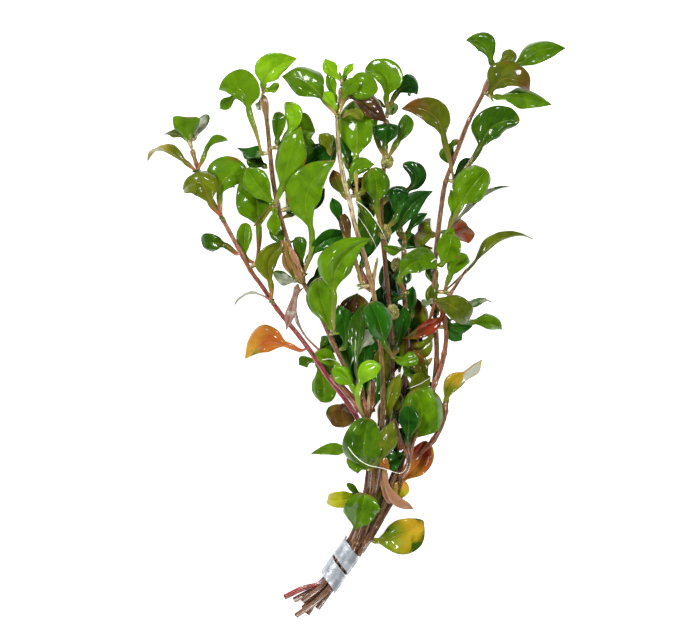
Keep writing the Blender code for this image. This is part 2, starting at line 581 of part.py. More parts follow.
LEAVES = {
    "leaf_left_upper": Leaf((-51.8, 130.6, 7), (-56.8, 130, 4.4), 7.8, stem="stem_left", at=(-37, 120.6),
                            neck=(-46.4, 129.4, 8), blunt=1, rests=True),
    "leaf_left_middle": Leaf((-29, 90, 6), (-38.8, 83.4, 1), 10.8, stem="stem_left", at=(-14, 87.6),
                             neck=(-20.4, 88.8, 6.4), lean=-0.3, broad=0.45, finish=ORANGE, rests=True),
    "leaf_left_lower": Leaf((0.8, 63, 4), (1.4, 55.4, 2.6), 12.2, stem="stem_left", at=(4, 66.4),
                            stalk=0.08, broad=0.55, blunt=1, finish=BROWN, rests=True),
    "leaf_mid_left_upper": Leaf((2, 95.2, 24), (-0.8, 105, 26), 8.8, stem="stem_mid_left", at=(-0.2, 85),
                                stalk=0.15, finish=DARK),
    "leaf_mid_left_lower": Leaf((6.6, 90, 28), (9.2, 106.4, 32), 6.4, stem="stem_mid_left",
                                at=(6.6, 70.4), neck=(6.8, 79, 24), face=(-0.5, 0, 1)),
    "leaf_right_top": Leaf((44, 168.4, 19), (43, 162, 16), 6.2, stem="stem_right", at=(48.2, 170.6),
                           stalk=0.12),
    "leaf_right_upper": Leaf((34.4, 133.8, 15), (30.8, 135, 12), 12.3, stem="stem_right", at=(39.3, 133.4),
                             stalk=0.04, broad=0.5, blunt=1, finish=BROWN),
    "leaf_right_middle": Leaf((43.6, 128, 22), (44.6, 133.6, 22), 10, stem="stem_right", at=(38.2, 120),
                              stalk=0.12, fold=26, blunt=0.8),
    "leaf_right_inner": Leaf((32, 80.4, 19), (29.4, 87.4, 20), 7, stem="stem_right", at=(37.4, 72),
                             stalk=0.1, finish=BROWN),
    "leaf_right_outer": Leaf((47.6, 74, 8), (58, 82.8, 4), 9.4, stem="stem_right", at=(28.4, 49.6),
                             neck=(42.2, 65.8, 10), face=(-0.8, 0.5, 0.6), finish=ORANGE),
    "leaf_right_lower": Leaf((31.8, 41.6, 10), (34.6, 50.6, 10), 10, stem="stem_right", at=(20.4, 34),
                             face=(-0.3, 0, 1), stalk=0.1, broad=0.62, blunt=0.8, finish=ORANGE),
    "leaf_mid_right": Leaf((20.6, 68.6, 25), (24.2, 78.2, 27), 5.6, stem="stem_mid_right", at=(19.2, 57),
                           stalk=0.12, finish=OLIVE),
    "leaf_low_left": Leaf((-3, 46.6, 5), (-12, 44.6, 2), 4.8, stem="stem_low", at=(14.2, 41),
                          neck=(4.4, 46.2, 6.4), broad=0.35, rests=True),
    "leaf_low_front": Leaf((8.4, 22.8, 16), (10.2, 29.6, 19), 13.6, stem="stem_mid_left", at=(6.6, 13.4),
                           stalk=0.1, lean=0.1, broad=0.78, blunt=1),
    "leaf_low_right": Leaf((23.4, 11.6, 4), (34.2, 17.8, 2), 13.4, stem="stem_right", at=(10.2, 11),
                           neck=(14.4, 9.6, 4.6), lean=-0.15, broad=0.5, blunt=0.6, finish=YELLOW,
                           rests=True),
}


def smooth_curve(controls):
    """A Catmull-Rom curve through the points, with CURVE_STEPS samples from each to the next."""
    ends = [controls[0], *controls, controls[-1]]
    samples = []
    for before, start, stop, after in zip(ends, ends[1:], ends[2:], ends[3:]):
        for step in range(CURVE_STEPS):
            t = step / CURVE_STEPS
            samples.append(
                0.5 * (2 * start + (stop - before) * t + (2 * before - 5 * start + 4 * stop - after) * t**2
                       + (3 * start - before - 3 * stop + after) * t**3)
            )
    return [*samples, controls[-1]]


def tie_point(place, along):
    """Where a stem with this bearing in the tie is, so far along the tie from its middle."""
    forward = Vector((cos(TIE_ANGLE), sin(TIE_ANGLE), 0))
    axis = forward * along + Vector((0, 0, PACKING + STEM_RADIUS + GAP + STRIP_THICKNESS))
    return axis if place is None else axis + PACKING * across_tie(radians(place))


def across_tie(angle):
    """The way out of the tie's middle at this angle, from its right side over the top."""
    return Vector((sin(TIE_ANGLE) * cos(angle), -cos(TIE_ANGLE) * cos(angle), sin(angle)))


class Axis:
    """A stem's middle line and its radius, both by the distance from its cut end."""

    def __init__(self, stem):
        tie = [tie_point(stem.place, along) for along in (-TIE_HALF_LENGTH, 0, TIE_HALF_LENGTH)]
        controls = [*map(Vector, stem.cut), *tie, *map(Vector, stem.route)]
        first_route = len(stem.cut) + len(tie)
        self.samples = smooth_curve(controls)
        steps = [(b - a).length for a, b in zip(self.samples, self.samples[1:])]
        self.distances = [0, *itertools.accumulate(steps)]
        self.length = self.distances[-1]
        self.controls = self.distances[::CURVE_STEPS]
        self.joints = [
            (self.controls[first_route + index], HEAD_SWELL if index in stem.heads else JOINT_SWELL)
            for index in sorted({*stem.joints, *stem.heads})
        ]

    def point(self, distance):
        span = next((i for i, d in enumerate(self.distances[1:]) if d >= distance), len(self.samples) - 2)
        share = (distance - self.distances[span]) / (self.distances[span + 1] - self.distances[span])
        return self.samples[span].lerp(self.samples[span + 1], share)

    def direction(self, distance):
        start, stop = max(0, distance - 1), min(self.length, distance + 1)
        return (self.point(stop) - self.point(start)).normalized()

    def radius(self, distance):
        swell = max(s * max(0, 1 - abs(distance - d) / JOINT_HALF_LENGTH) for d, s in self.joints)
        return STEM_RADIUS * (1 - STEM_TAPER * distance / self.length) * (1 + swell)

    def end(self):
        """The point that the stem's rounded end reaches."""
        return self.point(self.length) + self.direction(self.length) * self.radius(self.length) / 2

    def nearest(self, plan):
        """The distance at which the stem passes a point in plan."""
        gaps = [(sample.xy - Vector(plan)).length for sample in self.samples]
        return self.distances[gaps.index(min(gaps))]

    def rings(self):
        """The distances at which the stem's tube needs a ring."""
        wanted = {*self.controls}
        for distance, _ in self.joints:
            wanted |= {distance - JOINT_HALF_LENGTH, distance + JOINT_HALF_LENGTH}
        kept = []
        for distance in sorted(wanted):
            if distance <= self.length and (not kept or distance - kept[-1] > CLOSEST_RINGS):
                kept.append(distance)
        return kept


def lofted(rings, tip):
    """A closed surface: a flat first end, each ring joined to the next, and a point to end on.

    The two halves of each ring are split along the same diagonals, so that a thin twisted blade's
    upper and under sides never cross.
    """
    count = len(rings[0])
    points = [*itertools.chain.from_iterable(rings), tip]
    faces = [tuple(reversed(range(count)))]
    for start in range(0, count * (len(rings) - 1), count):
        for side in range(count):
            a, b = start + side, start + (side + 1) % count
            c, d = b + count, a + count
            faces += [(a, b, c), (a, c, d)] if side < count // 2 else [(a, b, d), (b, c, d)]
    last = count * (len(rings) - 1)
    faces += [(last + side, last + (side + 1) % count, len(points) - 1) for side in range(count)]
    return points, faces


def stem_shape(axis):
    """A tapering five-sided tube, swollen at its joints, with its ribs turning slowly round it."""
    rings = []
    for number, distance in enumerate(axis.rings()):
        forward = axis.direction(distance)
        side = forward.cross((0, 0, 1)).normalized()
        up = side.cross(forward)
        turns = [pi + RIB_TURN * number - 2 * pi * corner / STEM_SIDES for corner in range(STEM_SIDES)]
        radius = axis.radius(distance)
        rings.append([axis.point(distance) + radius * (cos(t) * side + sin(t) * up) for t in turns])
    return lofted(rings, axis.end())


def strip_shape():
    """The lead strip: flats of a helical band round the stems, each lying in one plane."""
    turn = 2 * pi / STRIP_BEND_SIDES
    inner = (PACKING + STEM_RADIUS + GAP) / cos(turn / 2)
    outer = (PACKING + STEM_RADIUS + GAP + STRIP_THICKNESS) / cos(turn / 2)
    middle = tie_point(None, 0)
    forward = tie_point(None, 1) - middle
    points, faces = [], []
    for bend in range(STRIP_FLATS + 1):
        turns = bend - STRIP_FLATS / 2
        out = across_tie(turns * turn - pi / 2)
        along = turns * STRIP_PITCH / STRIP_BEND_SIDES
        for radius, edge in ((inner, -0.5), (inner, 0.5), (outer, 0.5), (outer, -0.5)):
            points.append(middle + out * radius + forward * (along + edge * STRIP_WIDTH))
    faces.append((0, 1, 2, 3))
    for start in range(0, 4 * STRIP_FLATS, 4):
        for corner in range(4):
            a, b = start + corner, start + (corner + 1) % 4
            faces.append((a, a + 4, b + 4, b))
    faces.append(tuple(4 * STRIP_FLATS + corner for corner in (3, 2, 1, 0)))
    return points, faces


class Route:
    """A smooth curve through points, by the share of the straight ways between them."""

    def __init__(self, points):
        self.points = points
        steps = [(b - a).length for a, b in zip(points, points[1:])]
        self.length = sum(steps)
        self.shares = [reached / self.length for reached in (0, *itertools.accumulate(steps))]
        spans = [b - a for a, b in zip(self.shares, self.shares[1:])]
        straight = [(b - a) / span for a, b, span in zip(points, points[1:], spans)]
        inner = [
            (before * ahead + after * back) / (ahead + back)
            for before, after, back, ahead in zip(straight, straight[1:], spans, spans[1:])
        ]
        self.slopes = [2 * straight[0] - inner[0], *inner, 2 * straight[-1] - inner[-1]]

    def span(self, t):
        """The number of the span that holds the share t, its width and the share of it that t reaches."""
        number = sum(share <= t for share in self.shares[1:-1])
        width = self.shares[number + 1] - self.shares[number]
        return number, width, (t - self.shares[number]) / width

    def point(self, t):
        number, width, u = self.span(t)
        start, stop = self.points[number:number + 2]
        out, into = self.slopes[number:number + 2]
        return (start * (2 * u**3 - 3 * u**2 + 1) + out * width * (u**3 - 2 * u**2 + u)
                + stop * (3 * u**2 - 2 * u**3) + into * width * (u**3 - u**2))

    def tangent(self, t):
        number, width, u = self.span(t)
        start, stop = self.points[number:number + 2]
        out, into = self.slopes[number:number + 2]
        return ((stop - start) * (6 * (u - u**2) / width) + out * (3 * u**2 - 4 * u + 1)
                + into * (3 * u**2 - 2 * u)).normalized()


def leaf_shape(leaf, base, lift=0, margin=0):
    """A closed thin leaf on a route from base, lifted beyond it, and thicker by margin all over."""
    own = [point for point in (leaf.neck, leaf.via, leaf.tip) if point]
    route = Route([base, *(Vector(point) + Vector((0, 0, lift)) for point in own)])
    middle = route.shares[-2]
    start = route.shares[1] if leaf.neck else leaf.stalk

    def frame(t):
        """The ways to the right and out of the upper side, carried along from the blade's middle."""
        forward = route.tangent(middle)
        up = Vector(leaf.face)
        for step in range(CURVE_STEPS + 1):
            forward = route.tangent(middle + (t - middle) * step / CURVE_STEPS)
            up = (up - up.dot(forward) * forward).normalized()
        up = Quaternion(forward, radians(leaf.twist) * (t - middle)) @ up
        return forward.cross(up), up

    def stalk_ring(t):
        right, up = frame(t)
        radius = STALK_RADIUS + margin
        turns = [pi - 2 * pi * corner / len(SECTION) for corner in range(len(SECTION))]
        return [route.point(t) + radius * (cos(turn) * right + sin(turn) * up) for turn in turns]

    def blade_ring(t, half):
        right, up = frame(t)
        ring = []
        for across, height in SECTION:
            side = half * (1 + leaf.lean if across < 0 else 1 - leaf.lean)
            rise = abs(across) * side * sin(radians(leaf.fold)) - leaf.curl * side * across**4
            reach = across * (side * cos(radians(leaf.fold)) + margin)
            ring.append(route.point(t) + right * reach
                        + up * (rise + height * (BLADE_HALF_THICKNESS + margin)))
        return ring

    stations = (0, start / 2, start) if route.length * start > LONG_STALK else (0, start)
    rings = [stalk_ring(t) for t in stations]
    for place, pointed, blunt in SMALL_OUTLINE if leaf.width < SMALL_LEAF else OUTLINE:
        half = leaf.width / 2 * (pointed + (blunt - pointed) * leaf.blunt)
        share = leaf.broad * place if place <= 1 else leaf.broad + (1 - leaf.broad) * (place - 1)
        rings.append(blade_ring(start + (1 - start) * share, half))
    return lofted(rings, route.point(1) + route.tangent(1) * margin)


def lowest(shape):
    return min(point.z for point in shape[0])


def resting_lift(leaf, base):
    """How far the leaf is lifted, or lowered, to touch the surface at Z = 0."""
    lift = 0
    for _ in range(CURVE_STEPS):
        lift -= lowest(leaf_shape(leaf, base, lift))
    return lift


def placed_leaf(name, leaf, base, others, carrier):
    """The leaf's shape, raised or lowered until it is clear of what is already there.

    others are the other pieces, and carrier is the stem it grows on, which its stalk may nearly touch.
    """
    if leaf.rests:
        lifts = [resting_lift(leaf, base)]
    else:
        lifts = sorted((STEP * step for step in range(-MOST_STEPS, MOST_STEPS + 1)), key=abs)
    for lift in lifts:
        shape = leaf_shape(leaf, base, lift)
        room = BVHTree.FromPolygons(*leaf_shape(leaf, base, lift, CLEARANCE))
        in_the_way = BVHTree.FromPolygons(*shape).overlap(carrier) or any(map(room.overlap, others))
        if lowest(shape) > -FLAT and not in_the_way:
            return shape
    raise RuntimeError(f"{name} has a leaf with no room between the others")


def out_of_stem(axis, distance, towards):
    """The way straight out of the stem that is nearest to the way given."""
    forward = axis.direction(distance)
    return (Vector(towards) - Vector(towards).dot(forward) * forward).normalized()


def sprig_start(axis, sprig):
    """The middle of a bud beside a stem's joint or past a stem's end, and the way it points."""
    if not sprig.at:
        forward = axis.direction(axis.length)
        return axis.end() + forward * (GAP + BUD_RADIUS * BUD_STRETCH), forward
    distance = axis.nearest(sprig.at)
    out = out_of_stem(axis, distance, sprig.points)
    return axis.point(distance) + out * (axis.radius(distance) + GAP + BUD_RADIUS * BUD_STRETCH), out


def leaf_start(axis, leaf):
    """Where a leaf's stalk starts, beside the stem that carries it."""
    distance = axis.nearest(leaf.at)
    out = out_of_stem(axis, distance, Vector(leaf.via) - axis.point(distance))
    return axis.point(distance) + out * (axis.radius(distance) + GAP + STALK_RADIUS)


def material(finish):
    found = bpy.data.materials.get(finish.name)
    if found:
        return found
    made = bpy.data.materials.new(finish.name)
    made.use_nodes = True
    shader = made.node_tree.nodes["Principled BSDF"]
    shader.inputs["Base Color"].default_value = (*finish.colour, 1)
    shader.inputs["Roughness"].default_value = finish.roughness
    shader.inputs["Metallic"].default_value = finish.metallic
    return made


def place(name, shape, finish, origin):
    """A named object with its own origin, from a shape in millimetres."""
    points, faces = shape
    mesh = bpy.data.meshes.new(name)
    mesh.from_pydata([(point - origin) * METRES_PER_MM for point in points], [], faces)
    mesh.materials.append(material(finish))
    mesh.shade_smooth()
    mesh.set_sharp_from_angle(angle=SHARP_ANGLE)
    piece = bpy.data.objects.new(name, mesh)
    piece.location = origin * METRES_PER_MM
    bpy.context.scene.collection.objects.link(piece)
    return piece


def bud_shape(middle, direction):
    """A bud stretched along its direction."""
    bud = bmesh.new()
    bmesh.ops.create_icosphere(bud, subdivisions=1, radius=BUD_RADIUS)
    turn = Vector((0, 0, 1)).rotation_difference(direction)
    points = [middle + turn @ Vector((v.co.x, v.co.y, v.co.z * BUD_STRETCH)) for v in bud.verts]
    faces = [tuple(v.index for v in face.verts) for face in bud.faces]
    bud.free()
    return points, faces


def grown_together(name, shapes, finish, origin):
    """One closed body from a bud and the leaves that start inside it."""
    whole, *others = [place(f"{name}_{i}", shape, finish, origin) for i, shape in enumerate(shapes)]
    for other in others:
        union = whole.modifiers.new("grown together", "BOOLEAN")
        union.operation = "UNION"
        union.material_mode = "TRANSFER"
        union.object = other
    bpy.context.view_layer.update()
    mesh = bpy.data.meshes.new_from_object(whole.evaluated_get(bpy.context.evaluated_depsgraph_get()))
    mesh.name = name
    for helper in (whole, *others):
        bpy.data.objects.remove(helper)
    piece = bpy.data.objects.new(name, mesh)
    piece.location = origin * METRES_PER_MM
    bpy.context.scene.collection.objects.link(piece)


def main():
    for old in list(bpy.data.objects):
        bpy.data.objects.remove(old)
    trees = {}
    axes = {name: Axis(stem) for name, stem in STEMS.items()}
    for name, axis in axes.items():
        shape = stem_shape(axis)
        trees[name] = BVHTree.FromPolygons(*shape)
        place(name, shape, STEMS[name].finish, axis.point(0))
    shape = strip_shape()
    trees["lead_strip"] = BVHTree.FromPolygons(*shape)
    place("lead_strip", shape, LEAD, tie_point(None, 0))
    for name, sprig in SPRIGS.items():
        base, forward = sprig_start(axes[sprig.stem], sprig)
        others = [tree for other, tree in trees.items() if other != sprig.stem]
        shapes = [bud_shape(base, forward)]
        shapes += [placed_leaf(name, leaf, base, others, trees[sprig.stem]) for leaf in sprig.leaves]
        trees |= {f"{name} {number}": BVHTree.FromPolygons(*shape) for number, shape in enumerate(shapes)}
        grown_together(name, shapes, sprig.leaves[0].finish, base)
    for name, leaf in LEAVES.items():
        base = leaf_start(axes[leaf.stem], leaf)
        others = [tree for other, tree in trees.items() if other != leaf.stem]
        shape = placed_leaf(name, leaf, base, others, trees[leaf.stem])
        trees[name] = BVHTree.FromPolygons(*shape)
        place(name, shape, leaf.finish, base)


main()
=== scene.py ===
"""Dresses the solids of a tied bunch of Alternanthera ficoidea cuttings.

Leaves, stems, buds, flower heads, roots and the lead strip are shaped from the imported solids, so each
one lies where its solid lies. Lengths are in metres. +Y runs from the tie to the shoot tips, and +Z is
up from the surface that the bunch lies on.
"""

import json
import random
from math import cos, pi, radians, sin, sqrt
from typing import NamedTuple

import bmesh
import bpy
import numpy as np
from bpy.props import FloatProperty, FloatVectorProperty, IntProperty, PointerProperty
from mathutils import Matrix, Vector


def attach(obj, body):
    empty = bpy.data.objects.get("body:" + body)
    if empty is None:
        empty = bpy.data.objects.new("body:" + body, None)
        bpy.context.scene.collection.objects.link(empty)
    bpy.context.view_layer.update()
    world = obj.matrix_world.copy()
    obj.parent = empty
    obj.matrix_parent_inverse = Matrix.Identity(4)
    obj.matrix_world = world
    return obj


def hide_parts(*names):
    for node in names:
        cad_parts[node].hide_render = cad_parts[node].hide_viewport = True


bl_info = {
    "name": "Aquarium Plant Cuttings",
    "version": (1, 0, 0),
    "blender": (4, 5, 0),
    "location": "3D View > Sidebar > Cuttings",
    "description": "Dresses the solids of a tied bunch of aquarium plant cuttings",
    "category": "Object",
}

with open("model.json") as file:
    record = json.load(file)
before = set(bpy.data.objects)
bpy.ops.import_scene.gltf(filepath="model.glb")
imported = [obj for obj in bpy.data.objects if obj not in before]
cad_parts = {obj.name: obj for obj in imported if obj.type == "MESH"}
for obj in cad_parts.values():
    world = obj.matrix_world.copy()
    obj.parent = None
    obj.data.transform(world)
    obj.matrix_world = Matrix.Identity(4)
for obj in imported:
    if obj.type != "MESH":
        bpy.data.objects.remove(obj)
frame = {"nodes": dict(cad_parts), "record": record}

MM = 0.001
BODY = "root"
SLOTS = {part["node"]: part["material_slot"] for part in frame["record"]["subparts"]}

# How the solids are made up
JOINED = 0.001 * MM  # corners nearer than this are one corner
STEM_CORNERS = 5  # of each ring of a stem's solid
LEAF_CORNERS = 6  # of each ring of a leaf's solid
STALK_SPAN = 1.2 * MM  # a leaf's ring narrower than this is on its bare stalk
STALK_RADIUS = 0.48 * MM
UNDER_SHARE = 0.38  # how far across the solid's lower corners are
LEAST_RINGS = 3  # whole rings by which a leaf's pointed end is known

# Finishes of each sprig's leaves, from the one whose tip is furthest left. The dark finish is partly painted
# shade.
SPRIG_FINISHES = {
    "tip_left": "olive green sage",
    "pair_left_top": "amber green",
    "sprig_left_upper": "olive green",
    "sprig_left_middle": "green green",
    "pair_left_middle": "faded olive",
    "pair_left_lower": "mauve green",
    "sprig_left_lower": "green green green",
    "tip_mid_left": "olive lime lime",
    "pair_mid_left_top": "green dark",
    "sprig_mid_left_top": "green lime green",
    "sprig_mid_left_upper": "green tan green green",
    "sprig_mid_left_side": "dark green dark",
    "sprig_mid_left_middle": "sage green green dark",
    "pair_mid_left_lower": "green brown green",
    "sprig_mid_left_lower": "lime dark lime",
    "tip_centre": "lime lime green",
    "pair_centre": "green brown",
    "sprig_centre_upper": "green green green umber",
    "sprig_centre_lower": "dark brown",
    "tip_mid_right": "green green dark",
    "sprig_mid_right": "green dark green",
    "pair_mid_right": "dark green dark",
    "pair_mid_right_lower": "dark dark green",
    "tip_short": "green dark dark dark",
    "sprig_short": "dark dark green",
    "tip_right": "green olive green",
    "sprig_right_top": "umber green",
    "sprig_right_upper": "umber dark green",
    "sprig_right_middle": "green red green sage",
    "sprig_right_side": "green olive",
    "sprig_right_front": "russet sage olive",
    "sprig_right_under": "dark sage green",
    "sprig_right_lower": "dark dark green",
    "sprig_low_upper": "green green olive",
    "sprig_low": "citron green",
}

# Finishes of single leaves that differ from their solid's
LEAF_FINISHES = {
    "leaf_right_upper": "umber",
    "leaf_right_inner": "umber",
    "leaf_right_lower": "ember",
    "leaf_right_outer": "flame",
    "leaf_low_right": "gold",
}

# The two main colours of each kind of leaf: of its light parts and of its deep ones
LEAF_COLOURS = {
    "green": ((0.085, 0.185, 0.001), (0.018, 0.06, 0.0005)),
    "lime": ((0.18, 0.36, 0.003), (0.07, 0.19, 0.001)),
    # dark: a dark green whose deep part is near black, partly the leaves' own colour and partly painted
    # shade on leaves that lie in shade
    "dark": ((0.015, 0.09, 0.002), (0.002, 0.022, 0.001)),
    "olive": ((0.12, 0.15, 0.003), (0.045, 0.065, 0.002)),
    "yellow": ((0.33, 0.27, 0.008), (0.1, 0.17, 0.002)),
    "orange": ((0.4, 0.17, 0.02), (0.3, 0.075, 0.008)),
    "brown": ((0.12, 0.065, 0.008), (0.035, 0.014, 0.004)),
    "red": ((0.28, 0.028, 0.007), (0.085, 0.006, 0.003)),
    "faded": ((0.36, 0.37, 0.30), (0.085, 0.125, 0.04)),
}

# Leaves that lie between the stems, in millimetres: start, end of the stalk, middle and tip, width, finish
STRAY_LEAVES = (
    ((22.8, 24, 9), (23.4, 26, 9), (24, 30.4, 10), (24.8, 35.4, 10), 6.4, "yellow"),
    ((17.6, 41, 17), (18, 37, 16), (20.4, 29, 15), (30.4, 22.6, 12), 3.8, "dry"),
    ((19.8, 39.4, 17), (19.2, 40.2, 17.4), (17.8, 41.8, 18), (15.8, 43.6, 18.4), 3.6, "orange"),
    ((15.4, 37.6, 15), (16.2, 35, 15), (18.6, 30, 14), (20.4, 24.6, 12), 3.6, "dry"),
    ((14, 86, 12), (15, 92, 11), (17, 103, 10), (18, 114, 10), 11, "dark"),
    ((20, 66, 10), (19, 72, 9), (16, 82, 8), (12, 92, 8), 11, "dark"),
    ((24, 70, 9), (26, 76, 9), (28.6, 85, 10), (28, 96, 10), 9, "umber"),
    ((6, 70, 12), (8, 76, 11), (10, 86, 10), (8, 97, 9), 9, "dark"),
    ((18, 128, 14), (19, 132, 13), (21, 141, 12), (19, 151, 12), 9, "dark"),
    ((8, 118, 14), (9, 122, 13), (11, 131, 12), (12, 142, 12), 9, "dark"),
    ((20, 60, 14), (21, 62.4, 14), (22.4, 66.4, 15), (21.4, 71.2, 15), 5.6, "olive"),
    ((16, 50, 10), (17.4, 51, 10), (20.4, 53, 9), (24, 52, 8), 7.6, "dark"),
    ((16, 20, 6), (16.6, 22, 6), (18, 27.6, 6), (19.4, 33, 6), 6, "umber"),
    ((-15.6, 114, 24), (-16.8, 117, 25.6), (-19.6, 123.6, 26.6), (-21.6, 131.4, 26), 2.8, "tan"),
    ((-15, 114, 24), (-15.4, 118, 26), (-18, 124, 27.4), (-20.6, 129, 27), 2.4, "dry"),
    ((-14.6, 114, 23), (-16.4, 118, 22), (-22, 127, 21.6), (-23.6, 134, 21), 2.6, "tan"),
    ((0.4, 184, 36), (1.6, 187, 38), (4, 191, 40), (8, 193.6, 40), 5.6, "green"),
    ((-0.6, 180, 35), (-2, 183, 38), (-4, 186.6, 39), (-6.6, 189, 39), 4.4, "lime"),
    ((1, 179, 35), (3, 181, 36), (6, 181, 36), (9, 178, 35), 4.4, "olive"),
    ((18, 184, 24), (15, 186, 26), (11.6, 187, 26), (7, 184, 25), 6.4, "umber"),
    ((17, 150, 24), (14.6, 151.6, 26), (9.6, 152.6, 27), (5, 149, 27), 7, "brown"),
    ((3, 150, 27), (4, 154, 29), (8, 160.4, 30), (13.6, 161, 29), 6, "green"),
    ((17, 145, 24), (19, 148, 25), (22, 150, 25), (26, 148, 24), 5, "dark"),
    ((-24, 150, 22), (-20, 153, 21), (-12, 157, 20), (-5.6, 155, 19), 9, "olive"),
    ((-25, 160, 22), (-22, 163, 24), (-16.6, 168, 24), (-9, 168.6, 22), 9, "green"),
    ((-23, 140, 20), (-19, 142, 18), (-13, 146, 16), (-6, 152, 15), 8, "dark"),
    ((-14, 112, 18), (-11, 115, 17), (-5, 119, 16), (2, 119, 15), 8, "dark"),
    ((37, 128, 14), (33, 128.6, 12), (28, 131, 11), (22.8, 131.4, 10), 6.4, "dark"),
    ((22, 92, 14), (20, 95, 13), (17, 99, 12), (12.6, 99.6, 12), 7.6, "brown"),
    ((38, 96, 16), (36.6, 93, 16), (33, 87.6, 16), (27, 87, 15), 7, "umber"),
    ((37, 84, 16), (35, 82, 16), (31, 80.6, 15), (25.6, 77, 15), 8, "green"),
    ((24, 58, 12), (26, 60, 12), (30, 66, 13), (36, 70, 13), 8, "green"),
    ((6, 84, 14), (7.4, 87, 13), (11, 92, 12), (16, 91, 12), 6, "faded"),
    ((2.6, 147, 30), (1.6, 149, 29), (-0.6, 153, 28), (-3, 159, 28), 5.6, "umber"),
    ((-41, 189.4, 22), (-42, 188.6, 22), (-44.6, 186.4, 21.6), (-48, 183.4, 21), 4.6, "green"),
    ((-15.4, 113.6, 22), (-17.6, 116, 23), (-20.6, 120.6, 24), (-22.6, 126.6, 24), 3.4, "tan"),
    ((24, 98, 12), (23, 100, 12), (20.6, 108, 12), (20, 119, 12), 6, "dark"),
    ((38, 117, 17), (37, 118, 17.6), (35.2, 121, 18), (33.6, 127, 18), 5, "dark"),
    # Wide dark leaves low in the middle of the bunch, under the others, where their near-black colour is
    # partly painted shade
    ((18, 70, 6), (18, 74, 6), (19, 84, 6), (19, 94, 6), 12, "dark"),
    ((14, 62, 5), (12, 66, 5), (8, 76, 5), (6, 84, 5), 10, "dark"),
    ((26, 76, 6), (27, 80, 6), (29, 90, 6), (29, 100, 6), 8, "dark"),
    ((22, 56, 6), (22, 60, 6), (24, 68, 6), (27, 76, 6), 9, "umber"),
    ((-29.4, 160, 15), (-30.4, 161, 15), (-33.2, 162.6, 15), (-37.4, 165.6, 15), 6.4, "green"),
    ((-4, 165, 20), (-4.2, 167, 20.4), (-5.4, 170.6, 21), (-8.4, 173.6, 21), 5.6, "olive"),
    ((-1.4, 185, 35), (-2, 187, 36), (-3.2, 191, 37), (-4.8, 196.6, 37), 4, "green"),
    ((3.6, 160, 27), (3.4, 162, 27), (2.4, 168, 27), (1, 173.4, 27), 4.8, "dark"),
    ((13.6, 136, 21), (13, 138, 21), (11.6, 142, 21), (9.4, 148.4, 21), 5.6, "green"),
    ((-22, 127, 21), (-22.6, 129, 21), (-24.8, 132.6, 21.4), (-28, 137, 21), 5, "green"),
    ((-16.8, 113.6, 21), (-17.2, 112, 21), (-18.8, 105.6, 20), (-21.4, 95, 19), 4.4, "mauve"),
    ((0.6, 79.6, 13), (-1, 80.8, 13), (-4.4, 83.4, 13), (-10, 86, 13), 6, "green"),
    ((0.4, 84, 11), (-0.2, 86, 11), (-1.8, 89.6, 11), (-3.6, 94.4, 11), 6, "dark"),
    ((3.6, 76, 11), (3.2, 79, 11), (2.2, 86, 11), (1, 92.4, 11), 6, "dark"),
    ((27, 67, 16), (28.4, 69, 17), (31, 73, 17.6), (36.4, 76.6, 17), 7, "olive"),
    ((42.4, 64, 17), (42.6, 67, 17.4), (44, 73, 18), (49.6, 78.4, 18), 5.6, "amber"),
    ((19, 70, 12), (18.6, 74, 12), (17, 81, 12), (18, 90, 12), 7, "olive"),
    ((23, 86, 13), (23, 88, 13), (21.6, 93, 13), (22.6, 100.6, 13), 6.4, "green"),
    ((10, 96, 12), (10, 98, 12), (9, 103, 12), (7.4, 109.6, 12), 7, "umber"),
    ((29, 100, 12), (29, 102, 12), (28, 107, 12), (29.4, 113, 12), 5.6, "dark"),
    # More wide dark leaves low in the middle of the bunch, where their near-black colour is partly painted
    # shade
    ((24, 78, 6), (24, 82, 6), (24, 92, 6), (24, 106, 6), 13, "dark"),
    ((12, 74, 5), (11, 80, 5), (10, 92, 5), (8, 104, 5), 10, "dark"),
    ((22, 100, 7), (22, 104, 7), (21, 114, 7), (19, 124, 7), 9, "dark"),
    ((30, 88, 7), (31, 92, 7), (32, 100, 7), (31, 108, 7), 7, "umber"),
    ((42.4, 101, 16), (43, 99, 16), (45, 95, 16), (49, 91, 15), 6, "dark"),
    ((13, 143, 22), (12.6, 145, 22), (11, 147.6, 22), (9.6, 151, 22), 6.4, "green"),
    ((39, 111, 16), (38.6, 113, 16), (37.2, 116.6, 16), (35.4, 121.6, 16), 5, "green"),
    ((41.6, 124, 20), (42, 126, 20.4), (43, 131, 21), (45, 136.6, 21), 5, "green"),
    ((39.4, 101, 18), (38.6, 103, 18), (36.6, 107.6, 18), (37.2, 114, 18), 4.6, "olive"),
    ((22, 43, 12), (22.4, 46, 13), (24.6, 51, 14), (28.6, 55.6, 14), 8, "dark"),
    ((20, 57, 9), (21, 60, 9), (24, 66, 9), (24.6, 75, 9), 9, "dark"),
)

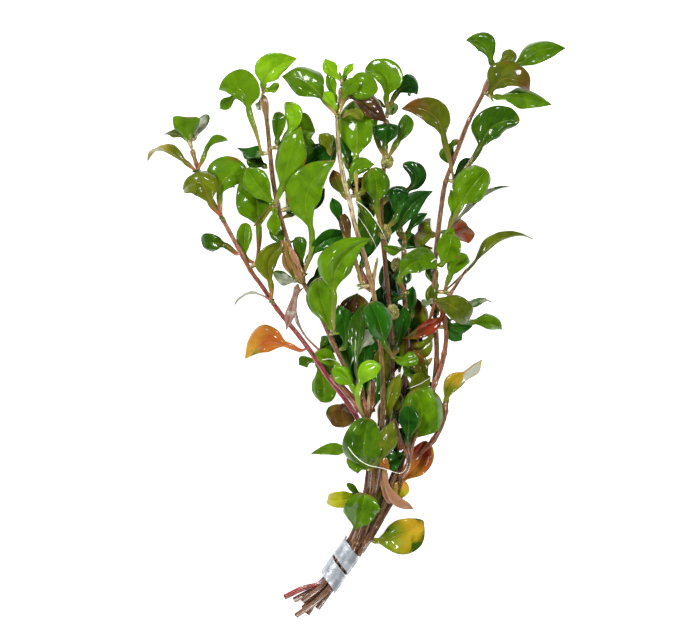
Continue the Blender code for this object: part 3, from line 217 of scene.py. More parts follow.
# Bare side shoots, in millimetres: the points of each, its radius at the start and at the end, colours
SHOOTS = (
    (((4.4, 4.4, 8), (9.2, 18.4, 12.4), (13.2, 32, 16), (12.8, 47.6, 19)), 1.4, 1.0, "brown"),
    (((7.2, 4, 7), (13.2, 15.2, 9), (18.8, 27.2, 12), (22.8, 38.8, 15)), 1.2, 0.9, "brown"),
    (((8.6, 5.4, 6), (16, 17.2, 7.4), (21.6, 29.2, 9), (25.4, 43, 12), (28, 52, 14)), 1.1, 0.8, "brown"),
    (((5.6, 8.4, 8), (11.4, 24, 11), (16, 38, 14), (19, 56, 17), (19.6, 66, 17)), 1.1, 0.7, "brown"),
    (((10.4, 60.4, 21.6), (6.4, 66, 20), (1.4, 71.6, 18.4), (-4, 77.2, 16.6)), 1.5, 1.1, "pink"),
    (((10.4, 60.6, 22.6), (8, 66, 23.2), (6.2, 71.6, 24)), 0.9, 0.5, "cream"),
    (((10.8, 60.6, 23), (9.8, 67.2, 25), (8.8, 73.4, 26.6)), 0.8, 0.5, "pink"),
    (((11, 60.8, 22.4), (11.6, 68, 25.4), (12, 75, 27)), 0.8, 0.5, "cream"),
    (((11.4, 60.4, 21.4), (13.2, 67.4, 23), (13.4, 76, 24)), 0.9, 0.6, "pink"),
    (((12.6, 111.2, 28.4), (10, 115.4, 29.6), (7.8, 121, 30)), 0.9, 0.6, "pink"),
    (((12.4, 110.8, 28.4), (9.4, 113, 29), (7, 117.4, 28.6)), 0.9, 0.6, "cream"),
    (((12.8, 111.6, 28.8), (11.4, 117, 30), (9.4, 123.4, 31)), 0.9, 0.5, "pink"),
    (((13, 111.6, 28.6), (13.6, 117.6, 30.6), (15, 124, 31)), 0.8, 0.5, "cream"),
    (((38, 107.4, 21), (36.4, 101, 20), (34.4, 95, 19)), 0.7, 0.4, "pink"),
    (((35.2, 68, 17), (40.4, 80, 16), (42.6, 92, 17), (41, 105, 18.6)), 1.1, 0.8, "pink"),
    (((41, 105, 18.6), (46.4, 113, 17.6), (51, 120, 17)), 0.8, 0.5, "pink"),
    (((3.6, 125, 26), (2, 132, 28), (0.4, 140.8, 29)), 0.8, 0.5, "cream"),
    (((19, 57, 18), (20.4, 66, 19), (21, 78, 20)), 1.0, 0.8, "green"),
    (((24, 47, 17), (23.6, 52, 18), (21.6, 60, 19)), 0.9, 0.6, "pink"),
    (((25, 38, 9), (32, 45, 11), (37.8, 51.4, 15), (41.2, 58.6, 17), (42.8, 67, 17.6)), 0.9, 1.2, "pink"),
    (((24, 36, 15), (27.2, 43.4, 21), (24, 51.6, 23), (21.4, 57, 23.4)), 0.8, 0.5, "pink"),
    (((24.4, 36, 15), (27.6, 43.6, 21.6), (26.8, 51, 24), (26.6, 57.6, 24.4)), 0.8, 0.5, "brown"),
    (((24.8, 36, 15), (28, 43.6, 21), (29.4, 50.6, 23.6), (31.2, 55, 24)), 0.7, 0.5, "pink"),
    (((10.4, 12, 7), (14.8, 17, 8.4), (19.6, 24, 9), (22.8, 30, 10), (24.8, 38, 12)), 1.3, 1.1, "brown"),
)
SHOOT_COLOURS = {
    "brown": ((0, (0.095, 0.032, 0.01)), (0.5, (0.12, 0.045, 0.012)), (1, (0.08, 0.035, 0.008))),
    "pink": ((0, (0.3, 0.09, 0.05)), (0.6, (0.26, 0.08, 0.04)), (1, (0.2, 0.08, 0.03))),
    "cream": ((0, (0.42, 0.24, 0.12)), (0.6, (0.42, 0.31, 0.13)), (1, (0.25, 0.25, 0.05))),
    "green": ((0, (0.134, 0.087, 0.018)), (1, (0.116, 0.095, 0.015))),
}

# Each stem's colours from its cut end to its tip, at these shares of its length, then its leaf stalks'
STEM_COLOURS = {
    "stem_left": (
        ((0, (0.30, 0.006, 0.022)), (0.07, (0.26, 0.014, 0.02)), (0.14, (0.15, 0.05, 0.025)),
         (0.33, (0.22, 0.008, 0.014)), (0.46, (0.38, 0.02, 0.08)), (0.6, (0.36, 0.045, 0.06)),
         (0.82, (0.34, 0.13, 0.055)), (1, (0.31, 0.22, 0.055))),
        (0.31, 0.088, 0.042),
    ),
    "stem_mid_left": (
        ((0, (0.16, 0.066, 0.033)), (0.3, (0.088, 0.043, 0.013)), (0.5, (0.17, 0.079, 0.04)),
         (0.64, (0.26, 0.16, 0.057)), (0.85, (0.21, 0.099, 0.044)), (1, (0.26, 0.21, 0.054))),
        (0.223, 0.19, 0.0473),
    ),
    "stem_centre": (
        ((0, (0.18, 0.08, 0.04)), (0.3, (0.07, 0.035, 0.01)), (0.5, (0.2, 0.13, 0.032)),
         (0.7, (0.43, 0.29, 0.12)), (0.8, (0.62, 0.52, 0.31)), (1, (0.25, 0.24, 0.05))),
        (0.31, 0.231, 0.063),
    ),
    "stem_mid_right": (
        ((0, (0.21, 0.084, 0.04)), (0.35, (0.093, 0.038, 0.013)), (0.6, (0.11, 0.035, 0.017)),
         (0.85, (0.17, 0.066, 0.021)), (1, (0.22, 0.15, 0.029))),
        (0.211, 0.143, 0.0336),
    ),
    "stem_short": (
        ((0, (0.24, 0.11, 0.054)), (0.5, (0.15, 0.053, 0.02)), (1, (0.22, 0.12, 0.034))),
        (0.236, 0.0825, 0.0294),
    ),
    "stem_right": (
        ((0, (0.16, 0.074, 0.042)), (0.3, (0.073, 0.033, 0.01)), (0.5, (0.14, 0.052, 0.025)),
         (0.62, (0.22, 0.12, 0.057)), (0.8, (0.23, 0.11, 0.057)), (0.92, (0.17, 0.055, 0.018)),
         (1, (0.12, 0.092, 0.013))),
        (0.192, 0.123, 0.0417),
    ),
    "stem_low": (
        ((0, (0.14, 0.055, 0.027)), (1, (0.12, 0.048, 0.016))),
        (0.146, 0.0682, 0.0208),
    ),
}

# How a blade's surface is divided
ACROSS = (0, 0.045, 0.11, 0.22, 0.38, 0.55, 0.72, 0.86, 0.955, 1)  # from its midrib to its edge
ROW_LENGTH = 0.6 * MM
ROWS = (10, 38)  # fewest and most rows of a blade
STALK_ROWS = 7
TIP_CROWDING = 1.2  # above 1, rows lie closer together towards the tip

# How a leaf is shaped. What isn't a length is a share of the blade's length or of its half-width.
BLUNT_FROM = 0.66  # a last section that is wider than this, by the widest, starts to make the tip round
BLUNT_SPAN = 0.12  # how much wider it is where the tip is as round as it gets
BLUNT_MOST = 0.85
TIP_HOLLOW = 0.3  # of the sides of a pointed tip
WING_END = 0.625  # where the wings of the stalk run out
LEAST_WIDTH = 0.3  # of the stalk's, up to the last section
VEIN_SLANT = 0.55
VEIN_CURVE = 0.1
PUFF_PEAK = 2.6  # brings the puffs' curve to 1 at its highest
UNFOLDING = (0, 0.3)  # where along it a blade's own form sets in
ROLLED_OUT = (0.55, 1.05)  # where across it an edge is rolled
ROLLED_ALONG = (0.1, 0.5)
NOD_START = 0.7
TWISTING = (0, 0.6)
EDGE_THINNING = 0.9
RIB_TAPER = 0.72
STALK_FADE = (-0.05, 0.16)  # where the round stalk sinks into the blade
STALK_TOP = 0.8  # height of the stalk's upper side, by its lower one's depth
GROOVE = 0.5  # depth over the midrib, by the midrib's radius

# Leaves between the stems: widths at shares of the blade, the way that they face, their stalks' colour
STRAY_WIDTHS = ((0, 0), (0.25, 0.6), (0.55, 1), (0.85, 0.6), (1, 0))
STRAY_FACING = np.array((0.1, -0.1, 1))
STRAY_STALK = (0.22, 0.15, 0.04)
STRAY_CUP = 0.1  # rise of its edges, by its width

# Buds with their bracts, which are small leaves
BUD_ROWS = 9
BUD_COLUMNS = 16
BUD_PAST = 1.3 * MM  # how far a bud reaches past its middle
BUD_ENDS = 0.65 * MM  # radius
BUD_BELLY = 0.4 * MM  # more radius half-way
BUD_RIBS = 5
BUD_RIB_DEPTH = 0.09
BRACT_COUNT = 3
BRACT_LENGTHS = (2.6, 4.2)  # millimetres, shortest and longest, at a shoot's tip
BRACT_WIDTHS = (1.2, 2)
SPRIG_BRACTS = 0.6  # size of a side sprig's bracts, by a tip's
BRACT_SHAPE = ((0.3, 0.7), (0.55, 1.0), (0.8, 0.6), (1, 0))  # widths at shares of the length
BRACT_BEND = 0.35
BRACT_CUP = 0.16
BRACT_FINISHES = ("green", "olive", "green", "lime")

# Colours that every leaf has a little of, and how far the stalk's colour reaches into the blade
UNDER_SIDE = (0.22, 0.30, 0.09)
DRY_POINT = (0.16, 0.09, 0.02)
SPECKS = (0.05, 0.03, 0.01)
RIB_TINT = 0.3  # share of the stalk's colour in the midrib, where the blade starts
RIB_TINT_FADE = 0.5  # what that share loses over the blade's length
STALK_BARE = 0.2  # share of the stalk, from its base, that has its own colour alone

# Stems and side shoots
STEM_STEP = 0.7 * MM
STEM_SHARE = 0.95  # of the solid's radius that a stem fills
STREAK_RUN = 90  # how far a metre of stem goes in the pattern of its streaks
RIB_TURNING = 14.0  # radians that the ribs turn in a metre
SHOOT_JOINT_PITCH = 13 * MM
SHOOT_JOINT_START = 6 * MM
SHOOT_JOINT_REACH = 0.9 * MM
SHOOT_SWELLING = 0.3
PITH_EDGE = 0.16 * MM  # of skin round the pith at a cut end
PITH_RIM = 0.35 * MM
PITH_DEPTH = 0.18 * MM
PITH_RISE = 0.12 * MM  # of its middle

# Flower heads: how far each stem's are shifted, in millimetres, and the joints that carry them
HEAD_SHIFTS = {"stem_mid_right": (1.2, 0, 2.2), "stem_short": (-2.4, 0, 1.6)}
HEAD_JOINT = 1.95 * MM  # smallest radius of such a joint
HEAD_LENGTH = 1.3  # by its radius
HEAD_BRACTS = 0.92  # how far out the bracts sit on its egg
HEAD_CORE = 0.9

# Root threads in plan, in millimetres
ROOTS = (
    ((4.8, 147.2), (6.4, 142), (11.2, 134.4), (14.4, 128.4), (15.6, 124)),
    ((4.8, 147.2), (9.2, 144.4), (15.2, 137.2), (19.2, 129.2)),
    ((3.2, 48.8), (6, 45.2), (10, 42), (16, 40.4), (25.6, 38.8), (27.2, 42)),
    ((27.2, 71.6), (32, 73.6), (36.8, 76.4)),
    ((36.4, 122.4), (38, 123.6), (40.4, 122.4)),
    ((-7.2, 83.2), (-4, 83.6), (-1.6, 82.8)),
)
ROOT_STEP = 0.5 * MM
ROOT_TAPER = 0.6
ABOVE_ALL = 0.2  # height from which the ways down to the leaves are measured

# Stage and camera
FLOOR_REACH = 3.0
LAMPS = (  # name, place beside the bunch's middle, width
    ("key", (-0.45, 0.35, 0.8), 0.19),
    ("fill", (0.5, 0.25, 0.75), 0.14),
    ("front", (0.05, -0.6, 0.7), 0.13),
)
PHOTO_MIDDLE = (4.0 * MM, 99.6 * MM)  # what the middle of the picture shows, in plan
PHOTO_WIDTH = 280 * MM  # across the picture, at the bunch's middle height
BUNCH_MIDDLE_HEIGHT = 20 * MM
LENS = 150  # millimetres, for a sensor of SENSOR
SENSOR = 36


def colour_property(name, description, default):
    return FloatVectorProperty(
        name=name, description=description, default=default, subtype="COLOR", size=3, min=0, max=1
    )


def length_property(name, description, default):
    return FloatProperty(name=name, description=description, default=default, min=0, unit="LENGTH")


def share_property(name, description, default, least=0.0, most=0.5):
    return FloatProperty(
        name=name, description=description, default=default, min=least, max=most, subtype="FACTOR"
    )


class LeafSettings(bpy.types.PropertyGroup):
    """Sizes and colours of the leaves."""

    thickness: length_property("Thickness", "Of a blade between its veins", 0.3 * MM)
    puff: share_property("Puff", "Swelling of each half of a blade, as a share of the half-width", 0.15)
    wave: share_property("Wave", "Waves of a blade's edges, as a share of the half-width", 0.2)
    fullness: share_property("Fullness", "Width of a blade, as a share of its solid's", 1.1, 0.5, 1.5)
    quilt: length_property("Quilt", "Rise of the blade between two side veins", 0.17 * MM)
    wings: FloatProperty(
        name="Wings", description="How much wider a stalk is where the blade starts, as a share",
        default=1.7, min=0, max=4,
    )
    twist: FloatProperty(
        name="Twist", description="Most that a blade turns about its midrib", default=radians(18), min=0,
        max=radians(60), subtype="ANGLE",
    )
    vein_pairs: IntProperty(
        name="Vein Pairs", description="Side veins on each half of a blade", default=6, min=1, max=12
    )


for kind, colours in LEAF_COLOURS.items():
    for part, colour in zip(("light", "deep"), colours):
        LeafSettings.__annotations__[f"{kind}_{part}"] = colour_property(
            f"{kind}, {part}".title(), f"The {part} parts of {kind} leaves", colour
        )


class StemSettings(bpy.types.PropertyGroup):
    """Sizes of the stems, buds, heads and roots."""

    ribs: IntProperty(name="Ribs", description="Ribs round a stem", default=7, min=3, max=16)
    rib_depth: share_property("Rib Depth", "Depth of a stem's ribs, as a share of its radius", 0.1)
    swelling: share_property("Swelling", "Of the joints, as a share of their solids'", 0.55, most=1.2)
    bracts: IntProperty(name="Bracts", description="Bracts of a flower head", default=130, min=8, max=300)
    bract_length: length_property("Bract Length", "Of a flower head's bract", 1.1 * MM)
    root_radius: length_property("Root Radius", "Of a root thread", 0.17 * MM)
    head_colour: colour_property("Flower Head", "Bracts of a flower head", (0.38, 0.36, 0.09))
    root_colour: colour_property("Root", "Root threads", (0.8, 0.8, 0.72))


class StripSettings(bpy.types.PropertyGroup):
    """Sizes and colours of the lead strip."""

    dent_depth: length_property("Dent Depth", "Of the strip's dents", 0.16 * MM)
    dent_size: length_property("Dent Size", "Width of the strip's dents", 2.2 * MM)
    edge_wear: length_property("Edge Wear", "Rounding of the strip's edges", 0.16 * MM)
    clean: colour_property("Clean Lead", "Where the strip is rubbed bright", (0.36, 0.38, 0.41))
    dull: colour_property("Dull Lead", "Where the strip is dull", (0.19, 0.21, 0.23))


class StageSettings(bpy.types.PropertyGroup):
    """Floor and light."""

    floor: colour_property("Floor", "Pale floor", (0.93, 0.93, 0.93))
    sky: FloatProperty(
        name="Sky", description="Strength of the light from all round", default=0.18, min=0, max=5
    )
    lamps: FloatProperty(
        name="Lamps", description="Radiance of the soft lamps", default=80, min=0, max=500
    )
    glow: FloatProperty(
        name="Glow", description="Light that the floor gives off itself", default=0.85, min=0, max=2
    )


class CuttingsSettings(bpy.types.PropertyGroup):
    """What the user may change."""

    leaves: PointerProperty(type=LeafSettings)
    stems: PointerProperty(type=StemSettings)
    strip: PointerProperty(type=StripSettings)
    stage: PointerProperty(type=StageSettings)


def title_of(name):
    """A socket's name, from a name of this script."""
    return name.replace("_", " ").title().replace("Ior", "IOR")


class NodeTree:
    """A node tree whose nodes are added and joined in one call each."""

    def __init__(self, tree):
        self.tree = tree

    def add(self, kind, inputs=None, **settings):
        node = self.tree.nodes.new(kind)
        for name, value in settings.items():
            setattr(node, name, value)
        for key, value in (inputs or {}).items():
            self.put(node.inputs[key], value)
        return node

    def put(self, socket, value):
        if isinstance(value, bpy.types.NodeSocket):
            self.tree.links.new(value, socket)
        elif socket.type == "RGBA" and len(value) == 3:
            socket.default_value = (*value, 1)
        else:
            socket.default_value = value

    def math(self, operation, *values, clamp=False):
        node = self.add("ShaderNodeMath", operation=operation, use_clamp=clamp)
        for socket, value in zip(node.inputs, values):
            self.put(socket, value)
        return node.outputs[0]

    def times(self, first, second):
        return self.math("MULTIPLY", first, second)

    def times_plus(self, value, factor, more, clamp=False):
        return self.math("MULTIPLY_ADD", value, factor, more, clamp=clamp)

    def vectors(self, operation, first, second):
        return self.add("ShaderNodeVectorMath", {0: first, 1: second}, operation=operation).outputs[0]

    def scaled(self, vector, factor):
        return self.add("ShaderNodeVectorMath", {0: vector, "Scale": factor}, operation="SCALE").outputs[0]


class Shading(NodeTree):
    """A material built round its Principled BSDF."""

    def __init__(self, name, **values):
        self.material = bpy.data.materials.new(name)
        self.material.use_nodes = True
        super().__init__(self.material.node_tree)
        self.shader = self.tree.nodes["Principled BSDF"]
        self.place = self.add("ShaderNodeTexCoord").outputs["Object"]
        for name, value in values.items():
            self.put(self.shader.inputs[title_of(name)], value)

    def attribute(self, name, output="Fac"):
        return self.add("ShaderNodeAttribute", attribute_name=name).outputs[output]

    def noise(self, scale, detail=2.0, vector=None, distortion=0.0):
        return self.add("ShaderNodeTexNoise", {
            "Vector": vector or self.place, "Scale": scale, "Detail": detail, "Distortion": distortion
        }).outputs["Fac"]

    def mix(self, share, first, second):
        node = self.add("ShaderNodeMix", data_type="RGBA")
        for index, value in ((0, share), (6, first), (7, second)):
            self.put(node.inputs[index], value)
        return node.outputs[2]

    def band(self, value, low, high, start=0.0, stop=1.0):
        """Goes smoothly from start, where the value is low, to stop, where it is high."""
        inputs = {"Value": value, 1: low, 2: high, 3: start, 4: stop}
        return self.add("ShaderNodeMapRange", inputs, interpolation_type="SMOOTHSTEP").outputs[0]

    def made(self, colour, roughness=None, relief=None, depth=0.0):
        """The material, with this colour and, where they are given, this roughness and relief."""
        inputs = self.shader.inputs
        self.put(inputs["Base Color"], colour)
        if roughness is not None:
            self.put(inputs["Roughness"], roughness)
        if relief is not None:
            bump = self.add("ShaderNodeBump", {"Height": relief, "Distance": depth, "Strength": 1.0})
            self.put(inputs["Normal"], bump.outputs[0])
        return self.material


class Growth(NodeTree):
    """A geometry tree with named inputs, which ends in Realize Instances and Set Material."""

    SOCKETS = {float: "NodeSocketFloat", int: "NodeSocketInt"}

    def __init__(self, name, **sizes):
        super().__init__(bpy.data.node_groups.new(name, "GeometryNodeTree"))
        face = self.tree.interface
        face.new_socket("Geometry", in_out="OUTPUT", socket_type="NodeSocketGeometry")
        face.new_socket("Geometry", in_out="INPUT", socket_type="NodeSocketGeometry")
        for size, value in sizes.items():
            kind = self.SOCKETS[type(value)]
            socket = face.new_socket(title_of(size), in_out="INPUT", socket_type=kind)
            socket.default_value = value
        face.new_socket("Material", in_out="INPUT", socket_type="NodeSocketMaterial")
        self.given = self.add("NodeGroupInput").outputs

    def named(self, name):
        node = self.add("GeometryNodeInputNamedAttribute", {"Name": name}, data_type="FLOAT")
        return node.outputs["Attribute"]

    def end(self, geometry):
        smooth = self.add("GeometryNodeSetShadeSmooth", {"Geometry": geometry}).outputs[0]
        whole = self.add("GeometryNodeRealizeInstances", {"Geometry": smooth}).outputs[0]
        inputs = {"Geometry": whole, "Material": self.given["Material"]}
        dressed = self.add("GeometryNodeSetMaterial", inputs).outputs[0]
        self.add("NodeGroupOutput", {"Geometry": dressed})

    def grow(self, mesh, material, **sizes):
        """A plain mesh of what the tree makes from this one."""
        holder = bpy.data.objects.new("growing", mesh)
        bpy.context.scene.collection.objects.link(holder)
        modifier = holder.modifiers.new("growing", "NODES")
        modifier.node_group = self.tree
        values = {title_of(name): value for name, value in sizes.items()}
        values["Material"] = material
        for item in self.tree.interface.items_tree:
            if item.in_out == "INPUT" and item.name in values:
                modifier[item.identifier] = values[item.name]
        grown = bpy.data.meshes.new_from_object(holder.evaluated_get(bpy.context.evaluated_depsgraph_get()))
        bpy.data.objects.remove(holder)
        return grown


def unit(vector):
    return vector / np.linalg.norm(vector, axis=-1, keepdims=True)


def dot(first, second):
    return (first * second).sum(-1, keepdims=True)


def smooth_step(value, low, high):
    share = np.clip((value - low) / (high - low), 0, 1)
    return share * share * (3 - 2 * share)


def distances(points):
    """How far each point is from the first, by way of those between."""
    return np.concatenate([[0], np.cumsum(np.linalg.norm(np.diff(points, axis=0), axis=1))])


def steps_of(length, step):
    """Places along a length, about this step apart."""
    return np.linspace(0, length, int(length / step))


def eased(places, rows, wanted, steady=False):
    """Rows between the given ones, on a smooth curve through them. A steady one never passes them."""
    slopes = np.gradient(rows, places, axis=0)
    if steady:
        rises = np.diff(rows, axis=0) / np.diff(places)[:, None]
        least = np.minimum(abs(rises[:-1]), abs(rises[1:])) * (rises[:-1] * rises[1:] > 0)
        slopes[1:-1] = np.clip(slopes[1:-1], -2 * least, 2 * least)
    span = np.clip(np.searchsorted(places, wanted) - 1, 0, len(places) - 2)
    step = (places[span + 1] - places[span])[:, None]
    t = (wanted - places[span])[:, None] / step
    before = rows[span] * (2 * t**3 - 3 * t**2 + 1) + slopes[span] * step * (t**3 - 2 * t**2 + t)
    return before + rows[span + 1] * (3 * t**2 - 2 * t**3) + slopes[span + 1] * step * (t**3 - t**2)


def merged(node):
    """The node's solid with its corners joined, as a mesh of its own."""
    solid = bmesh.new()
    solid.from_mesh(frame["nodes"][node].data)
    bmesh.ops.remove_doubles(solid, verts=solid.verts, dist=JOINED)
    return solid


def rings_from(tip, corners):
    """The rings that follow a pointed end, nearest first, as far as each has this many corners."""
    rings, seen = [], {tip}
    ring = [edge.other_vert(tip) for edge in tip.link_edges]
    while len(ring) == corners:
        rings.append(ring)
        seen.update(ring)
        beyond = (edge.other_vert(vert) for vert in ring for edge in vert.link_edges)
        ring = list(dict.fromkeys(vert for vert in beyond if vert not in seen))
    return rings


def in_order(ring):
    """The ring's corners as rows, one after the other round it, or None if they make no ring."""
    order = ring[:1]
    while len(order) < len(ring):
        beside = [edge.other_vert(order[-1]) for edge in order[-1].link_edges]
        following = [vert for vert in beside if vert in ring and vert not in order]
        if not following:
            return None
        order.append(following[0])
    return np.array([vert.co for vert in order])


class StemPath(NamedTuple):
    """A stem's middle line from its cut end to its tip, and its radius at each point of it."""

    node: str
    points: np.ndarray
    radii: np.ndarray


def read_stem(node):
    """The stem's path, from the rings of its solid."""
    solid = merged(node)
    tip = max(solid.verts, key=lambda vert: len(rings_from(vert, STEM_CORNERS)))
    rings = rings_from(tip, STEM_CORNERS)
    corners = np.array([[vert.co for vert in ring] for ring in reversed(rings)])
    middles = corners.mean(1)
    radii = np.linalg.norm(corners - middles[:, None], axis=2).mean(1)
    points = np.vstack([middles, tip.co])
    solid.free()
    return StemPath(node, points, np.append(radii, radii[-1] / 2))


STEMS = [read_stem(node) for node in frame["nodes"] if node.startswith("stem_")]


def nearest_stem(point):
    """The stem that passes nearest to the point, the place on its middle line and its radius there."""
    found = []
    for stem in STEMS:
        places = distances(stem.points)
        rows = np.column_stack([stem.points, stem.radii])
        line = eased(places, rows, steps_of(places[-1], ROW_LENGTH))
        gaps = np.linalg.norm(line[:, :3] - point, axis=1)
        index = gaps.argmin()
        found.append((gaps[index], stem, line[index, :3], line[index, 3]))
    return min(found, key=lambda row: row[0])[1:]


class Section(NamedTuple):
    """A leaf's cross-section.

    across is the mean half of it, as a way to the right. The left half is wider than that by the share
    lean, and the right half narrower. rise is how far the edges are above the middle.
    """

    middle: np.ndarray
    across: np.ndarray
    up: np.ndarray
    rise: float = 0.0
    lean: float = 0.0


def read_section(corners, ahead, above):
    """A leaf's section from a ring's corners, the middle of the section ahead and that one's upward way."""
    spans = np.linalg.norm(corners[:3] - corners[3:], axis=1)
    forward = unit(ahead - corners.mean(0))
    if spans.max() < STALK_SPAN:
        up = unit(above - dot(above, forward) * forward)
        return Section(corners.mean(0), np.cross(forward, up) * STALK_RADIUS, up)
    left, *upper, right, first, last = np.roll(corners, -spans.argmax(), axis=0)
    lower = [first, last]
    if np.linalg.norm(upper[0] - upper[1]) < np.linalg.norm(first - last):
        upper, lower = lower, upper
    floor = np.mean(lower, axis=0)
    across = (right - left) / 2
    up = unit(np.cross(across, forward))
    if up @ (np.mean(upper, axis=0) - floor) < 0:
        up, across = -up, -across
    reach = np.linalg.norm(across)
    edges = (left + right) / 2 - floor
    lean = -float(edges @ across) / reach**2 / (1 - UNDER_SHARE)
    return Section(floor + across * UNDER_SHARE * lean, across, up, float(edges @ up), lean)


class LeafForm(NamedTuple):
    """A leaf's sections from its base to its tip, and where along them the blade starts."""

    sections: list
    blade: float


def read_leaves(node):
    """The leaves of a node's solid, from the one whose tip is furthest left, and the corners of its bud."""
    solid = merged(node)
    found, used = [], set()
    for tip in solid.verts:
        rings = rings_from(tip, LEAF_CORNERS)
        if len(rings) < LEAST_RINGS:
            continue
        used.update([tip], *rings)
        ahead = np.array(tip.co)
        sections = [Section(ahead, np.zeros(3), np.zeros(3))]
        for ring in rings:
            corners = in_order(ring)
            if corners is None:
                break
            section = read_section(corners, ahead, sections[-1].up)
            sections.append(section)
            ahead = section.middle
        sections[0] = sections[0]._replace(up=sections[1].up)
        found.append(sections[::-1])
    rest = np.array([vert.co for vert in solid.verts if vert not in used])
    solid.free()
    return sorted(found, key=lambda sections: sections[-1].middle[0]), rest


def rooted(sections, base):
    """The leaf's form, grown from its base."""
    first = sections[0]
    forward = unit(first.middle - base)
    up = unit(first.up - dot(first.up, forward) * forward)
    start = Section(base, np.cross(forward, up) * STALK_RADIUS, up)
    narrow = [part for part in sections if np.linalg.norm(part.across) < STALK_SPAN / 2]
    places = distances(np.array([part.middle for part in (start, *sections)]))
    bare = len(narrow) - 1  # the tip counts as narrow too
    return LeafForm([start, *sections], places[bare] if bare else 0.0)


class Patch(NamedTuple):
    """A closed surface with what its material reads at each point."""

    points: np.ndarray
    faces: list
    blade: np.ndarray  # across, along and place between the side veins
    growth: np.ndarray  # 1 on the under side, then the leaf's own shade
    stalk: np.ndarray  # colour of the stalk, and how far it shows
    finish: str


def rings_faces(rows, columns):
    """Faces of a tube of rings that ends in one more point, with a flat start."""
    faces = [tuple(range(columns))[::-1]]
    for row in range(rows):
        for column in range(columns):
            here, beside = row * columns + column, row * columns + (column + 1) % columns
            ahead = (beside + columns, here + columns) if row < rows - 1 else (rows * columns,)
            faces.append((here, beside, *ahead))
    return faces


class Habit:
    """How far one leaf has each feature. A pair is for the left and the right half of its blade."""

    def __init__(self, name):
        chance = random.Random(name)

        def pair(low, high):
            return np.array([chance.uniform(low, high), chance.uniform(low, high)])

        self.swell = pair(0.5, 1.4)
        self.phase = pair(0, 1)  # where its waves start
        self.cycles = pair(0.9, 1.7)  # how many waves it has
        self.wave = chance.uniform(0.5, 1.3)
        self.roll = pair(-0.6, 0.4)
        self.nod = chance.uniform(-0.12, 0.05)
        self.fold = chance.uniform(-0.1, 0.4)
        self.turn = chance.uniform(-1, 1)
        self.shade = chance.random()  # 0 is its deep colour and 1 its light one


class Grid(NamedTuple):
    """The points of a leaf's surface, in rows along it and columns round it."""

    across: np.ndarray  # -1 at the left edge and 1 at the right one
    along: np.ndarray  # 0 where the blade starts, 1 at the tip, and below 0 on the stalk
    half: np.ndarray  # the width on that side of the midrib
    rib: np.ndarray  # the midrib's radius
    veins: np.ndarray  # like along, but the same all over a side vein
    under: np.ndarray  # 1 on the under side
    side: np.ndarray  # 0 on the left half and 1 on the right one


def leaf_rows(blade, total):
    """How far from the leaf's base each row of its surface is."""
    count = int(np.clip((total - blade) / ROW_LENGTH, *ROWS))
    spread = 1 - (1 - np.linspace(0, 1, count)) ** TIP_CROWDING
    stalk = np.linspace(0, blade, STALK_ROWS if blade else 0, endpoint=False)
    return np.concatenate([stalk, blade + (total - blade) * spread])


def leaf_halves(blade, places, widths, wanted, settings):
    """Half the leaf's width at each row: the stalk with its wings, the blade, and a pointed or blunt tip."""
    last, total = places[-2:]
    ahead = np.clip((wanted - last) / (total - last), 0, 1)
    blunt = np.clip((widths[-2] / widths.max() - BLUNT_FROM) / BLUNT_SPAN, 0, 1) * BLUNT_MOST
    half = eased(places, widths[:, None], wanted, steady=True)[:, 0]
    pointed = half * (1 - TIP_HOLLOW * ahead * (1 - ahead))
    rounded = widths[-2] * np.sqrt(1 - ahead**2)
    half = np.where(wanted > last, pointed * (1 - blunt) + rounded * blunt, half) * settings.fullness
    wing = STALK_RADIUS * (1 + settings.wings * smooth_step(wanted, 0, max(blade, MM)))
    share = (wanted - blade) / (total - blade)
    half = np.where(share < 0, wing, np.maximum(half, wing * (1 - np.clip(share / WING_END, 0, 1))))
    return np.maximum(half, LEAST_WIDTH * STALK_RADIUS * (1 - ahead))


def leaf_grid(share, half, lean, slant):
    """The surface's points, with a column for each of ACROSS on both halves of both sides."""
    upper = np.array([*(-np.array(ACROSS[:0:-1])), *ACROSS])
    across = np.concatenate([upper, upper[-2:0:-1]])[None]
    under = np.concatenate([np.zeros(len(upper)), np.ones(len(upper) - 2)])[None]
    along = share[:, None]
    rib = STALK_RADIUS * (1 - RIB_TAPER * np.clip(along, 0, 1) ** 0.6)
    veins = along - slant * abs(across) - VEIN_CURVE * across * across
    wide = half[:, None] * (1 - np.sign(across) * lean)
    return Grid(across, along, wide, rib, veins, under, np.where(across < 0, 0, 1))


def blade_lift(grid, rise, length, widest, habit, settings):
    """How far the blade is above its midrib, by its cup, puffs, waves, quilting, rolled edges and nod."""
    out, along, half = abs(grid.across), grid.along, grid.half
    puffs = habit.swell[grid.side] * settings.puff * half * PUFF_PEAK * out * (1 - out * out)
    cycles = habit.cycles[grid.side] * along + habit.phase[grid.side]
    waves = settings.wave * habit.wave * half * out * out * np.sin(2 * pi * cycles)
    ripples = 0.5 - 0.5 * np.cos(2 * pi * settings.vein_pairs * grid.veins)
    quilts = settings.quilt * (half / widest) * ripples * 4 * out * (1 - out)
    fold = habit.fold * half * out
    rolled = habit.roll[grid.side] * half * smooth_step(out, *ROLLED_OUT) * smooth_step(along, *ROLLED_ALONG)
    nod = habit.nod * length * np.clip((along - NOD_START) / (1 - NOD_START), 0, 1) ** 2
    unfolded = smooth_step(along, *UNFOLDING) * (puffs + waves + quilts + fold)
    return rise * out**1.5 + unfolded + rolled + nod


